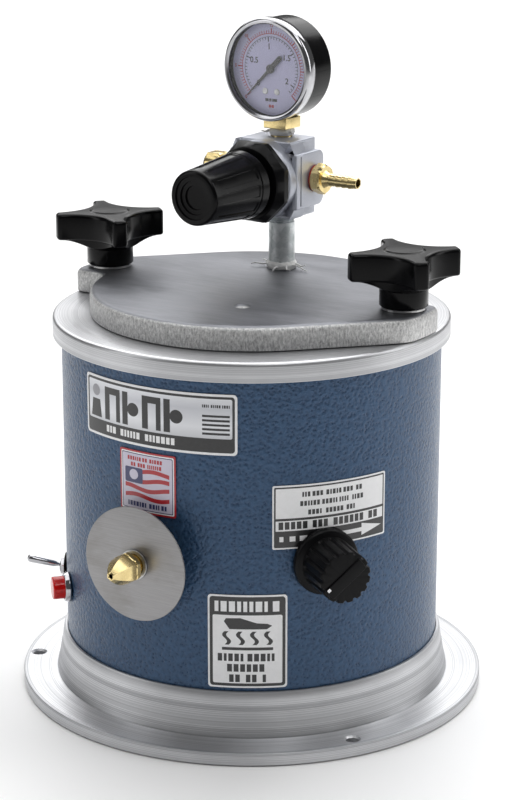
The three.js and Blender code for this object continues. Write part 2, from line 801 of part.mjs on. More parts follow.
function toggleLever() {
  const flareStart = bushFront - leverPivot + 0.6;
  const shaft = turned(
    [
      [0, 0],
      [leverNeck, 0],
      [leverNeck, flareStart],
      [leverRadius - 0.4, flareStart + 2],
      [leverRadius, leverLength - 2],
      [leverRadius - 0.2, leverLength - 0.6],
      [leverRadius - 1, leverLength],
      [0, leverLength],
    ],
  );
  const ball = new THREE.SphereGeometry(leverBall, 10, 8);
  const lever = join(shaft, ball);
  return lever.rotateX(-THREE.MathUtils.degToRad(leverTilt)).translate(0, 0, leverPivot);
}

add(panelSwitch, "toggle_lever", toggleLever(), chrome);

const lamp = outwardGroup(pot, lampAzimuth, panelHeight);
const lampBack = shellInside - lampBodyDepth;
const lampFace = shellRadius + gap + lampBezelDepth;
const lampBody = join(
  disc(lampBodyRadius, lampBack, shellRadius + gap + 0.2),
  disc(lampBodyRadius - 1.5, lampBack - 3, lampBack + 1),
);
add(lamp, "lamp_body", lampBody, blackPlastic);
const bezelBack = shellRadius + gap;
const lampBezel = turned([
  [lampLensRadius + gap, bezelBack],
  [lampBezelRadius - 0.6, bezelBack],
  [lampBezelRadius, bezelBack + 0.6],
  [lampBezelRadius - 0.8, lampFace],
  [lampLensRadius + gap, lampFace],
]);
add(lamp, "lamp_bezel", lampBezel, chrome);
const lampLens = turned([
  [0, bezelBack + 0.5],
  [lampLensRadius, bezelBack + 0.5],
  [lampLensRadius, bezelBack + lampLensDepth - 0.6],
  [lampLensRadius - 0.6, bezelBack + lampLensDepth],
  [0, bezelBack + lampLensDepth],
]);
add(lamp, "lamp_lens", lampLens, redLens);

// ---- cord grommet ----
const cordEntry = outwardGroup(pot, cordAzimuth, cordHeight);
const grommetInside = shellInside - 1;
const grommetOutside = shellRadius + gap;
const grommet = turned([
  [cordHoleRadius, grommetInside - grommetLip],
  [grommetRadius, grommetInside - grommetLip],
  [grommetRadius, grommetInside],
  [grommetNeck, grommetInside],
  [grommetNeck, grommetOutside],
  [grommetRadius, grommetOutside],
  [grommetRadius - 0.8, grommetOutside + grommetLip],
  [cordHoleRadius + 0.6, grommetOutside + grommetLip],
  [cordHoleRadius, grommetOutside + grommetLip - 0.6],
]);
add(cordEntry, "cord_grommet", grommet, rubber);

// ---- stickers ----
function addSticker(name, from, to, low, high, color) {
  const inner = shellRadius + gap;
  const sheet = sector(inner, inner + stickerSheet, from, to, low, high, Math.ceil((to - from) / 8));
  add(pot, name, sheet, finish(color, 0.35, 0));
}

for (const [name, from, to, drop, height, color] of stickers) {
  addSticker(name, from, to, rimBottom - drop - height, rimBottom - drop, color);
}
const cautionBottom = hubHeight + cautionRise;
addSticker(
  "caution_sticker", ...cautionAzimuths, cautionBottom, cautionBottom + cautionHeight, cautionColor,
);

// ---- pipe nipple and regulator body ----
const nipple = turned([
  [nippleBore, lidBottom + 1],
  [nippleRadius, lidBottom + 1],
  [nippleRadius, regulatorBottom + threadDepth - gap],
  [nippleBore, regulatorBottom + threadDepth - gap],
]);
add(head, "pipe_nipple", nipple, galvanised);

const front = outwardGroup(head, 0, regulatorAxis);
const right = outwardGroup(head, 90, regulatorAxis);
const left = outwardGroup(head, -90, regulatorAxis);
const halfBlock = blockHeight / 2;
const halfAcross = blockAcross / 2;
const shoulderFront = blockFront + ringShoulderLength;
const bonnetBack = blockFront - 5.4;
const chamberBack = bonnetBack - diaphragmThickness - 2 * gap;

function octagon(halfTop, halfWidth, halfSide, halfHeight, low, high) {
  const corners = [[halfTop, halfHeight], [halfWidth, halfSide]];
  const right = [...corners, ...corners.map(([x, y]) => [x, -y]).reverse()];
  const all = [...right, ...right.map(([x, y]) => [-x, -y])];
  const outline = new THREE.Shape(all.map(([x, y]) => new THREE.Vector2(x, y)));
  const options = { depth: high - low, bevelEnabled: false };
  return new THREE.ExtrudeGeometry(outline, options).translate(0, 0, low);
}

function sidePlateOutline() {
  const half = flangeHalfSide;
  const soft = 4;
  return new THREE.Shape()
    .moveTo(blockFront, -half)
    .lineTo(blockFront, half)
    .lineTo(-blockBack + soft, half)
    .quadraticCurveTo(-blockBack, half, -blockBack, half - soft)
    .lineTo(-blockBack, -half + soft)
    .quadraticCurveTo(-blockBack, -half, -blockBack + soft, -half);
}

function regulatorBody() {
  const plate = octagon(
    flangeHalfTop, flangeHalfWidth, flangeHalfSide, halfBlock, blockFront - flangePlate, blockFront,
  );
  const core = box(
    2 * blockHalfWidth, blockHeight, blockBack + blockFront - 1, 0, 0, (blockFront - blockBack - 1) / 2,
  );
  const shoulder = disc(ringShoulderRadius, blockFront - 1, shoulderFront);
  const cheekOptions = { depth: blockAcross, bevelEnabled: false, curveSegments: 6 };
  const cheeks = new THREE.ExtrudeGeometry(sidePlateOutline(), cheekOptions)
    .translate(0, 0, -halfAcross)
    .rotateY(-Math.PI / 2);
  const waist = [-1, 1].map((side) => {
    const reach = halfAcross - sidePlate;
    const x = (side * (blockHalfWidth + reach)) / 2;
    const depth = blockBack + blockFront - flangePlate;
    return box(reach - blockHalfWidth, 3 * halfBlock, depth, x, 0, -blockBack + depth / 2 - gap);
  });
  const portDisc = (radius, depth) => disc(radius, halfAcross - depth, halfAcross + 1);
  return cut(
    join(cut(cheeks, ...waist), plate, core, shoulder),
    disc(bonnetRadius + gap, chamberBack, shoulderFront + 1),
    disc(nippleRadius + gap, halfBlock - threadDepth, halfBlock + 1).rotateX(Math.PI / 2),
    disc(socketThreadRadius + gap, halfBlock - threadDepth, halfBlock + 1).rotateX(-Math.PI / 2),
    portDisc(barbThreadRadius + gap, portDepth).rotateY(Math.PI / 2),
    portDisc(barbThreadRadius + gap, portDepth).rotateY(-Math.PI / 2),
    box(sidePlate, 2 * flangeHalfSide - 3, 1, halfAcross, 0, blockFront - 4.2),
    box(sidePlate, 2 * flangeHalfSide - 3, 1, -halfAcross, 0, blockFront - 4.2),
  );
}

add(front, "regulator_body", regulatorBody(), zincCasting);

// ---- regulator inside, bonnet and knob ----
const diaphragm = join(
  disc(bonnetRadius, chamberBack + gap, bonnetBack - gap),
  disc(bonnetRadius / 2, bonnetBack - 2 * gap, bonnetBack + 2),
);
add(front, "regulator_diaphragm", diaphragm, rubber);
const bonnetFlangeBack = shoulderFront + gap;
const bonnetInside = bonnetRadius - bonnetWall;
const bonnet = turned([
  [bonnetInside, bonnetBack],
  [bonnetRadius, bonnetBack],
  [bonnetRadius, bonnetFlangeBack],
  [bonnetFlangeRadius, bonnetFlangeBack],
  [bonnetFlangeRadius, bonnetFlangeBack + bonnetFlangeThickness],
  [bonnetRadius, bonnetFlangeBack + bonnetFlangeThickness],
  [bonnetRadius, bonnetFront],
  [adjustingScrewRadius + gap, bonnetFront],
  [adjustingScrewRadius + gap, bonnetFront - 2.5],
  [bonnetInside, bonnetFront - 2.5],
]);
add(front, "regulator_bonnet", bonnet, blackPlastic);

function bonnetNut() {
  const nutFront = bonnetFlangeBack + bonnetNutLength;
  const across = 2 * bonnetNutReach * Math.cos(Math.PI / 8);
  const cone = turned(
    [[0, bonnetFlangeBack], [bonnetNutReach, bonnetFlangeBack], [bonnetNutReach, nutFront - 5],
      [bonnetNutReach - 3.4, nutFront], [0, nutFront]],
  );
  const body = solid(prism(8, across, bonnetFlangeBack, nutFront)).intersect(solid(cone));
  return cut(
    fromSolid(body),
    disc(bonnetRadius + gap, bonnetFlangeBack - 1, nutFront + 1),
    disc(bonnetFlangeRadius + gap, bonnetFlangeBack - 1, bonnetFlangeBack + bonnetFlangeThickness + gap),
  );
}

add(front, "bonnet_nut", bonnetNut(), blackPlastic);
const seatFront = bonnetFront - 2.5 - 2 * gap;
const seatBack = seatFront - springSeatThickness;
const screwFront = regulatorKnobBack + regulatorKnobLength - 8;
const screwBack = seatBack - springSeatTravel - springSeatThickness;
const adjustingScrew = disc(adjustingScrewRadius, screwBack, screwFront);
add(front, "adjusting_screw", adjustingScrew, steel);
const springSeat = ring(adjustingScrewRadius + gap, bonnetInside - gap, seatBack, seatFront);
add(front, "spring_seat", springSeat, steel);
const rangeSpring = coil(bonnetInside - 2.5, springWire, 4, bonnetBack + 2 + gap, seatBack - gap);
add(front, "range_spring", rangeSpring, steel);

function regulatorKnob() {
  const back = regulatorKnobBack;
  const end = back + regulatorKnobLength;
  const slope = (regulatorKnobBackRadius - regulatorKnobFrontRadius) / regulatorKnobLength;
  const hollow = regulatorKnobBackRadius - 1.6 - slope * regulatorKnobSkirt;
  return turned(
    [
      [adjustingScrewRadius + gap, back + regulatorKnobSkirt],
      [hollow, back + regulatorKnobSkirt],
      [regulatorKnobBackRadius - 1.6, back],
      [regulatorKnobBackRadius, back],
      [regulatorKnobFrontRadius, end - 1.5],
      [regulatorKnobFrontRadius - 1.5, end],
      [11, end],
      [11, end - 1],
      [8.5, end - 1],
      [8.5, end - 2],
      [6, end - 2],
      [6, end - 3],
      [0, end - 3],
      [0, screwFront + gap + regulatorKnobPull],
      [adjustingScrewRadius + gap, screwFront + gap + regulatorKnobPull],
    ],
  );
}

add(front, "regulator_knob", regulatorKnob(), blackGloss);

// ---- side ports ----
function hoseBarb() {
  const hexFront = halfAcross + 1.1 + barbHexLength;
  const shank = [];
  const pitch = (barbShankLength - 4) / barbRidges;
  for (let i = 0; i < barbRidges; i += 1) {
    const start = hexFront + 3.2 + i * pitch;
    shank.push([barbShankRadius, start], [barbShankRadius + barbRidge, start + 0.4]);
    shank.push([barbShankRadius, start + pitch - 0.2]);
  }
  const tip = hexFront + barbShankLength;
  const body = turned(
    [
      [barbBore, halfAcross - portDepth + gap],
      [barbThreadRadius, halfAcross - portDepth + gap],
      [barbThreadRadius, halfAcross + 1],
      [barbHexAcross / 2 - 0.4, halfAcross + 1],
      [barbHexAcross / 2 - 0.4, hexFront],
      [barbShankRadius + 1.3, hexFront],
      [barbShankRadius + 0.6, hexFront + 2.6],
      ...shank,
      [barbShankRadius - 0.3, tip],
      [barbBore, tip],
    ],
  );
  const hexagon = cut(
    prism(6, barbHexAcross, halfAcross + 1.1, hexFront - 0.1),
    disc(barbBore + 1, halfAcross, hexFront + 1),
  );
  return join(body, hexagon);
}

add(right, "hose_barb", hoseBarb(), brass);

const reliefFront = halfAcross + reliefBodyLength;
const reliefBore = reliefStemRadius + gap;

function reliefValve() {
  const hexBack = reliefFront - reliefHexLength;
  const reach = reliefHexAcross / 2 / Math.cos(Math.PI / 6);
  const cone = turned(
    [[0, hexBack], [reach - 1, hexBack], [reach, hexBack + 0.6], [reach, reliefFront - 0.6],
      [reach - 1, reliefFront], [0, reliefFront]],
  );
  const flats = prism(6, reliefHexAcross, hexBack, reliefFront).rotateZ(Math.PI / 6);
  const hexagon = solid(flats).intersect(solid(cone));
  const barrel = turned([
    [0, halfAcross - portDepth + gap],
    [barbThreadRadius, halfAcross - portDepth + gap],
    [barbThreadRadius, halfAcross + gap],
    [reliefBodyRadius, halfAcross + gap],
    [reliefBodyRadius, hexBack + 1],
    [0, hexBack + 1],
  ]);
  const bore = disc(reliefBore, halfAcross - portDepth, reliefFront + 1);
  return cut(join(fromSolid(hexagon), barrel), bore);
}

add(left, "relief_valve_body", reliefValve(), brass);
const reliefEye = reliefFront + reliefStemReach - 1.6;
const eyeDrop = (reliefStemRadius ** 2 / pullRingRadius) / 4; // half of how far the ring curves in the hole
const eyeHole = disc(pullRingWire + 1.5 * gap + eyeDrop, -5, 5)
  .rotateY(Math.PI / 2)
  .translate(0, -eyeDrop, reliefEye);
const reliefStem = cut(disc(reliefStemRadius, halfAcross - 2, reliefFront + reliefStemReach), eyeHole);
add(left, "relief_stem", reliefStem, brass);
const pullRing = new THREE.TorusGeometry(pullRingRadius, pullRingWire, 6, 20)
  .translate(0, -pullRingRadius, reliefEye);
add(left, "pull_ring", pullRing, steel);

// ---- gauge ----
const gauge = outwardGroup(head, 0, gaugeAxis);
const socketBlockBottom = gaugeAxis - caseRadius + 3.2;

function gaugeSocket() {
  const square = box(
    socketSquare, socketSquare, socketSquareHeight, 0, 0, socketSquareBottom + socketSquareHeight / 2,
  );
  const thread = disc(socketThreadRadius, regulatorTop - threadDepth + gap, socketSquareBottom + 1);
  const stem = disc(socketStemRadius, socketSquareTop - 1, socketBlockBottom + 1);
  const block = box(9, 7, 6, 0, 0, socketBlockBottom + 3);
  return join(square, thread, stem, block);
}

add(head, "gauge_socket", gaugeSocket(), brass);

const caseFront = gaugeFront - bezelLip - lensThickness - 3 * gap;
function gaugeCase() {
  const inside = caseRadius - gaugeWall;
  const cup = turned(
    [
      [0, -gaugeBack],
      [caseRadius - 1.5, -gaugeBack],
      [caseRadius, -gaugeBack + 1.5],
      [caseRadius, caseFront],
      [inside, caseFront],
      [inside, -gaugeBack + gaugeWall],
      [0, -gaugeBack + gaugeWall],
    ],
  );
  const neck = disc(socketStemRadius + gap, inside - 4, caseRadius + 2).rotateX(Math.PI / 2);
  return cut(cup, neck);
}

add(gauge, "gauge_case", gaugeCase(), blackGloss);
const lensBack = caseFront + gap;
const bezelInside = caseRadius + gap;
const bezel = turned([
  [bezelInside, gaugeFront - bezelDepth],
  [gaugeRadius, gaugeFront - bezelDepth],
  [gaugeRadius, gaugeFront - 1],
  [gaugeRadius - 1, gaugeFront],
  [gaugeRadius - bezelBorder, gaugeFront],
  [gaugeRadius - bezelBorder, gaugeFront - bezelLip],
  [bezelInside, gaugeFront - bezelLip],
]);
add(gauge, "gauge_bezel", bezel, chrome);
add(gauge, "gauge_lens", disc(caseRadius, lensBack, lensBack + lensThickness), clearLens);

const dialFace = caseFront - dialDepth;
const pointerShaft = 0.8;
const pointerPlane = dialFace + 0.7;
const dialPlate = ring(
  pointerShaft + gap, caseRadius - gaugeWall - gap, dialFace - dialSheet, dialFace,
);
add(gauge, "gauge_dial", dialPlate, dialWhite);

function gaugePointer() {
  const outline = new THREE.Shape()
    .moveTo(-pointerTail, -1.3)
    .lineTo(-pointerTail, 1.3)
    .lineTo(0, 0.9)
    .lineTo(pointerLength, 0.25)
    .lineTo(pointerLength, -0.25)
    .lineTo(0, -0.9);
  const options = { depth: 0.5, bevelEnabled: false };
  const needle = new THREE.ExtrudeGeometry(outline, options).translate(0, 0, pointerPlane);
  const hub = disc(2.4, pointerPlane - 0.2, pointerPlane + 1);
  const shaft = disc(pointerShaft, dialFace - 6, pointerPlane + 0.5);
  return join(needle, hub, shaft).rotateZ(THREE.MathUtils.degToRad(pointerZero));
}

add(gauge, "gauge_pointer", gaugePointer(), blackPlastic);

function bourdonTube() {
  const radius = caseRadius - gaugeWall - 5;
  const points = [];
  for (let i = 0; i <= 16; i += 1) {
    const angle = THREE.MathUtils.degToRad(-68 + (i * 270) / 16);
    points.push(new THREE.Vector3(radius * Math.cos(angle), radius * Math.sin(angle), 0));
  }
  const section = new THREE.Shape().absellipse(0, 0, 1.2, 2.6, 0, 2 * Math.PI);
  const path = new THREE.CatmullRomCurve3(points);
  const options = { steps: 16, curveSegments: 3, bevelEnabled: false, extrudePath: path };
  return new THREE.ExtrudeGeometry(section, options);
}

add(gauge, "bourdon_tube", bourdonTube(), brass);

export default pot;
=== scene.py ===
"""Heated wax injection pot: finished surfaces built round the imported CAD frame. Pieces are made in
millimetres in a local frame, as the CAD is, and stored in metres."""

import math
import random

import bmesh
import bpy
from mathutils import Matrix, Vector, noise


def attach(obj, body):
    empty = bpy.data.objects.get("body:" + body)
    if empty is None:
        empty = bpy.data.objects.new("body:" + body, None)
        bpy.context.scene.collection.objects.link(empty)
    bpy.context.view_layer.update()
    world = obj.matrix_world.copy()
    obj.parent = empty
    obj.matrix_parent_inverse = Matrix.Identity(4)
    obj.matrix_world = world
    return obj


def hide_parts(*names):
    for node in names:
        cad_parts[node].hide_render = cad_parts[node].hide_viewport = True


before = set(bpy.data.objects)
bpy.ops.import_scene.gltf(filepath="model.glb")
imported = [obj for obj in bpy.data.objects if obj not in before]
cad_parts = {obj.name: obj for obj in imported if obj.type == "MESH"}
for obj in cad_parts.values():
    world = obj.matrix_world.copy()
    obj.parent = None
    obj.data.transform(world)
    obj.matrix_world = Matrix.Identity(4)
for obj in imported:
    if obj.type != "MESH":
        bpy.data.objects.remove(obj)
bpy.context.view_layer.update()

MM = 0.001
TAU = 2 * math.pi
Z = Vector((0, 0, 1))
FINE = 192  # steps round a large turned piece
MEDIUM = 96
SMALL = 48


# ---------------------------------------------------------------- shader expressions


class Wire:
    """A shader value. Arithmetic on it adds the Math nodes that work it out."""

    def __init__(self, finish, socket):
        self.finish = finish
        self.socket = socket

    def math(self, operation, *others, clamp=False):
        settings = {"operation": operation, "use_clamp": clamp}
        return self.finish.node("ShaderNodeMath", settings, dict(enumerate((self, *others))))

    def __add__(self, other):
        return self.math("ADD", other)

    __radd__ = __add__

    def __sub__(self, other):
        return self.math("SUBTRACT", other)

    def __rsub__(self, other):
        return self.math("MULTIPLY_ADD", -1.0, other)

    def __mul__(self, other):
        return self.math("MULTIPLY", other)

    __rmul__ = __mul__

    def __truediv__(self, other):
        return self.math("DIVIDE", other)

    def __pow__(self, other):
        return self.math("POWER", other)

    def over(self, limit):
        return self.math("GREATER_THAN", limit)

    def under(self, limit):
        return self.math("LESS_THAN", limit)

    def size(self):
        return self.math("ABSOLUTE")

    def least(self, other):
        return self.math("MINIMUM", other)

    def most(self, other):
        return self.math("MAXIMUM", other)

    def wave(self):
        return self.math("SINE")

    def part(self):
        return self.math("FRACT")

    def ramp(self, low, high):
        """0 at low, 1 at high, and straight between."""
        settings = {"clamp": True}
        inputs = {"Value": self, "From Min": low, "From Max": high}
        return self.finish.node("ShaderNodeMapRange", settings, inputs)

    def within(self, low, high):
        return self.over(low) * self.under(high)


class Finish:
    """A material that is being built round one Principled shader."""

    def __init__(self, name, **constants):
        self.material = bpy.data.materials.new(name)
        self.material.use_nodes = True
        self.tree = self.material.node_tree
        self.shader = self.tree.nodes["Principled BSDF"]
        for socket, value in constants.items():
            self.shader.inputs[socket.replace("_", " ")].default_value = value

    def node(self, kind, settings=None, inputs=None, output=0):
        made = self.tree.nodes.new(kind)
        for name, value in (settings or {}).items():
            if name == "stops":
                ramp = made.color_ramp.elements
                while len(ramp) < len(value):
                    ramp.new(0.5)
                for stop, (place, colour) in zip(ramp, value):
                    stop.position = place
                    stop.color = (*colour, 1)
            else:
                setattr(made, name, value)
        for name, value in (inputs or {}).items():
            self.feed(made.inputs[name], value)
        return Wire(self, made.outputs[output])

    def feed(self, socket, value):
        if isinstance(value, Wire):
            self.tree.links.new(value.socket, socket)
        elif isinstance(value, tuple) and socket.type == "RGBA":
            socket.default_value = (*value, 1)[:4]
        else:
            socket.default_value = value

    def place(self):
        """Where the shaded point is in the part's frame, in metres."""
        return self.node("ShaderNodeTexCoord", output="Object")

    def axes(self, vector=None):
        split = self.node("ShaderNodeSeparateXYZ", None, {"Vector": vector or self.place()})
        outputs = split.socket.node.outputs
        return [Wire(self, outputs[i]) for i in range(3)]

    def stretched(self, scale):
        settings = {"operation": "MULTIPLY"}
        return self.node("ShaderNodeVectorMath", settings, {0: self.place(), 1: scale})

    def noise(self, scale, detail=2.0, roughness=0.5, vector=None):
        inputs = {"Scale": scale, "Detail": detail, "Roughness": roughness}
        inputs["Vector"] = vector or self.place()
        return self.node("ShaderNodeTexNoise", None, inputs)

    def streaks(self, along, detail=2.0):
        """Noise that changes only with one value."""
        settings = {"noise_dimensions": "1D"}
        return self.node("ShaderNodeTexNoise", settings, {"W": along, "Scale": 1.0, "Detail": detail})

    def cells(self, scale, feature="F1", output="Distance", vector=None):
        settings = {"feature": feature}
        inputs = {"Scale": scale, "Vector": vector or self.place()}
        return self.node("ShaderNodeTexVoronoi", settings, inputs, output)

    def blend(self, factor, first, second):
        settings = {"data_type": "RGBA"}
        made = self.tree.nodes.new("ShaderNodeMix")
        for name, value in settings.items():
            setattr(made, name, value)
        self.feed(made.inputs[0], factor)
        self.feed(made.inputs[6], first)
        self.feed(made.inputs[7], second)
        return Wire(self, made.outputs[2])

    def colour(self, value):
        self.feed(self.shader.inputs["Base Color"], value)

    def roughness(self, value):
        self.feed(self.shader.inputs["Roughness"], value)

    def metallic(self, value):
        self.feed(self.shader.inputs["Metallic"], value)

    def bump(self, height, distance, strength=1.0):
        inputs = {"Height": height, "Distance": distance, "Strength": strength}
        bumped = self.node("ShaderNodeBump", None, inputs, "Normal")
        self.feed(self.shader.inputs["Normal"], bumped)


# ---------------------------------------------------------------- measures from the frame


def span(node, direction=Z, origin=Vector()):
    """Lowest and highest that a CAD node goes along a direction, in millimetres."""
    along = [(point.co / MM - origin).dot(direction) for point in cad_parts[node].data.vertices]
    return min(along), max(along)


def middle(node):
    points = [point.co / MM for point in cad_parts[node].data.vertices]
    return sum(points, Vector()) / len(points)


def outwards(azimuth, height, origin=Vector()):
    """A local frame at a height: +Z straight out at an azimuth, +Y up, +X along the surface."""
    out = Vector((math.sin(azimuth), -math.cos(azimuth), 0))
    turned_out = Matrix((Z.cross(out), Z, out)).transposed().to_4x4()
    turned_out.translation = origin + height * Z
    return turned_out


def azimuth_of(node, origin=Vector()):
    point = middle(node) - origin
    return math.atan2(point.x, -point.y)


X = Vector((1, 0, 0))
shell_radius = span("outer_shell", X)[1]
shell_bottom, shell_top = span("outer_shell")
flange_radius = span("base_flange", X)[1]
hub_top = span("base_flange")[1]
rim_radius = span("wax_pot", X)[1]
pot_bottom, rim_top = span("wax_pot")
lid_bottom, lid_top = span("lid")
nozzle_height = sum(span("heat_shield_disc")) / 2
dial_height = sum(span("temperature_knob")) / 2
panel_height = sum(span("lamp_lens")) / 2
stud_circle = abs(middle("stud_left").x)
nipple_axis = middle("pipe_nipple")
nipple_axis.z = 0
head_turn = azimuth_of("regulator_knob", nipple_axis)
regulator_height = sum(span("regulator_knob")) / 2
regulator_bottom, regulator_top = span("regulator_body")
gauge_height = sum(span("gauge_bezel")) / 2

FRONT = outwards(head_turn, regulator_height, nipple_axis)
RIGHT = outwards(head_turn + TAU / 4, regulator_height, nipple_axis)
LEFT = outwards(head_turn - TAU / 4, regulator_height, nipple_axis)
GAUGE = outwards(head_turn, gauge_height, nipple_axis)
NOZZLE = outwards(0, nozzle_height)
THERMOSTAT = outwards(azimuth_of("temperature_knob"), dial_height)
SWITCH = outwards(azimuth_of("switch_nut"), panel_height)
LAMP = outwards(azimuth_of("lamp_lens"), panel_height)
CORD = outwards(math.pi, sum(span("cord_grommet")) / 2)


def reach(node, place):
    """Lowest and highest that a node goes along the +Z of a local frame."""
    return span(node, place.col[2].to_3d(), place.translation)


# ---------------------------------------------------------------- shapes


def circle(radius, height, steps=MEDIUM):
    """Ring of points. The radius may be a function of the angle."""
    ring = []
    for i in range(steps):
        angle = TAU * i / steps
        size = radius(angle) if callable(radius) else radius
        ring.append(Vector((size * math.cos(angle), size * math.sin(angle), height)))
    return ring


def loft(rings, loop=False):
    """Skin over rings of equal counts of points. A ring of one point closes an end."""
    shape = bmesh.new()
    rows = [[shape.verts.new(point) for point in ring] for ring in rings]
    pairs = list(zip(rows, rows[1:]))
    if loop:
        pairs.append((rows[-1], rows[0]))
    for low, high in pairs:
        count = max(len(low), len(high))
        for i in range(count):
            j = (i + 1) % count
            corners = [low[i % len(low)], low[j % len(low)], high[j % len(high)], high[i % len(high)]]
            shape.faces.new(list(dict.fromkeys(corners)))
    if not loop:
        for row in (rows[0], rows[-1]):
            if len(row) > 2:
                shape.faces.new(row)
    bmesh.ops.recalc_face_normals(shape, faces=shape.faces)
    return shape


def turned(profile, steps=MEDIUM):
    """Outline of (radius, height) points turned about +Z: from axis to axis, or closed on itself."""
    rings = [circle(radius, height, steps) if radius else [height * Z] for radius, height in profile]
    return loft(rings, loop=profile[0][0] > 0 and profile[-1][0] > 0)


def rounded(profile, radius, steps=4, keep=()):
    """The outline with its corners rounded. Corners on the axis, and those to keep, stay sharp."""
    softened = []
    count = len(profile)
    for i, corner in enumerate(profile):
        before, after = Vector(profile[i - 1]), Vector(profile[(i + 1) % count])
        here = Vector(corner)
        ends = corner[0] == 0 or i in keep
        room = min((before - here).length, (after - here).length) / 2.1
        size = min(radius, room)
        if ends or size < 0.02:
            softened.append(tuple(corner))
            continue
        first = here + (before - here).normalized() * size
        last = here + (after - here).normalized() * size
        for j in range(steps + 1):
            t = j / steps
            softened.append(tuple(first * (1 - t) ** 2 + here * (2 * t * (1 - t)) + last * t**2))
    return softened


def slab(outline, low, high, edge=0.0, steps=3):
    """Flat outline given a thickness, with its edges rounded."""
    shape = bmesh.new()
    face = shape.faces.new([shape.verts.new((x, y, low)) for x, y in outline])
    lifted = bmesh.ops.extrude_face_region(shape, geom=[face])["geom"]
    bmesh.ops.translate(shape, verts=[v for v in lifted if isinstance(v, bmesh.types.BMVert)],
                        vec=(high - low) * Z)
    bmesh.ops.recalc_face_normals(shape, faces=shape.faces)
    if edge:
        soften(shape, edge, steps)
    return shape


def soften(shape, radius, steps=3, least=math.radians(35)):
    """Rounds a shape's sharp edges."""
    shape.normal_update()
    sharp = [edge for edge in shape.edges if edge.is_manifold and edge.calc_face_angle() > least]
    bmesh.ops.bevel(shape, geom=sharp, offset=radius, segments=steps, profile=0.5, affect="EDGES",
                    clamp_overlap=True)
    bmesh.ops.dissolve_degenerate(shape, edges=shape.edges, dist=1e-4)


def block(width, depth, height, centre=(0, 0, 0), edge=0.0, steps=3):
    x, y = width / 2, depth / 2
    shape = slab([(-x, -y), (x, -y), (x, y), (-x, y)], -height / 2, height / 2, edge, steps)
    return moved(shape, Matrix.Translation(centre))


def moved(shape, place):
    bmesh.ops.transform(shape, matrix=place, verts=shape.verts)
    return shape


def both(*shapes):
    """Several closed shapes as one."""
    whole = bmesh.new()
    for shape in shapes:
        part = bpy.data.meshes.new("part")
        shape.to_mesh(part)
        whole.from_mesh(part)
        bpy.data.meshes.remove(part)
    return whole


def swept(path, radius, steps=12, loop=False):
    """Round wire along a path. The radius may be a list, one for each point."""
    rings = []
    count = len(path)
    across = None
    for i, point in enumerate(path):
        before = path[i - 1] if loop or i else point
        after = path[(i + 1) % count] if loop or i + 1 < count else point
        along = (after - before).normalized()
        across = (across or along.orthogonal()) - (across or along.orthogonal()).dot(along) * along
        across.normalize()
        up = along.cross(across)
        size = radius[i] if isinstance(radius, list) else radius
        rings.append([point + size * (math.cos(a) * across + math.sin(a) * up)
                      for a in (TAU * j / steps for j in range(steps))])
    return loft(rings, loop)


def hexed(across, limit, sides=6):
    """Radius round a prism of flat sides, cut off at a round limit."""
    def radius(angle):
        from_flat = (angle + math.pi / sides) % (TAU / sides) - math.pi / sides
        return min(across / 2 / math.cos(from_flat), limit)
    return radius


def combined(shape, other, operation):
    body = bpy.data.objects.new("body", bpy.data.meshes.new("body"))
    tool = bpy.data.objects.new("tool", bpy.data.meshes.new("tool"))
    shape.to_mesh(body.data)
    other.to_mesh(tool.data)
    bpy.context.scene.collection.objects.link(body)
    bpy.context.scene.collection.objects.link(tool)
    joint = body.modifiers.new("joint", "BOOLEAN")
    joint.object = tool
    joint.operation = operation
    joint.solver = "EXACT"
    joint.use_self = True
    bpy.context.view_layer.update()
    ready = body.evaluated_get(bpy.context.evaluated_depsgraph_get())
    result = bmesh.new()
    result.from_mesh(ready.data)
    for used in (body, tool):
        mesh = used.data
        bpy.data.objects.remove(used)
        bpy.data.meshes.remove(mesh)
    return result


def cut(shape, *tools):
    """Cuts tools out of a shape."""
    return combined(shape, both(*tools), "DIFFERENCE")


def fused(*shapes):
    """Closed shapes fused into one skin."""
    whole = shapes[0]
    for shape in shapes[1:]:
        whole = combined(whole, shape, "UNION")
    return whole


def drill(radius, low, high, place, steps=SMALL):
    return moved(turned([(0, low), (radius, low), (radius, high), (0, high)], steps), place)


def on_circle(radius, azimuth, height=0.0):
    return Matrix.Translation((radius * math.sin(azimuth), -radius * math.cos(azimuth), height))


def piece(name, shape, finish, body, place=Matrix(), stands_for=(), crease=30):
    """Makes the object for a shape, in metres, and ties it to its body."""
    shape = moved(shape, Matrix.Scale(MM, 4) @ place)
    if place.determinant() < 0:
        bmesh.ops.reverse_faces(shape, faces=shape.faces)
    shape.normal_update()
    for face in shape.faces:
        face.smooth = True
    for edge in shape.edges:
        if edge.is_manifold and edge.calc_face_angle() > math.radians(crease):
            edge.smooth = False
    mesh = bpy.data.meshes.new(name)
    shape.to_mesh(mesh)
    shape.free()
    mesh.materials.append(finish)
    made = bpy.data.objects.new(name, mesh)
    bpy.context.scene.collection.objects.link(made)
    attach(made, body)
    if stands_for:
        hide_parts(*stands_for)
    return made


# ---------------------------------------------------------------- finishes


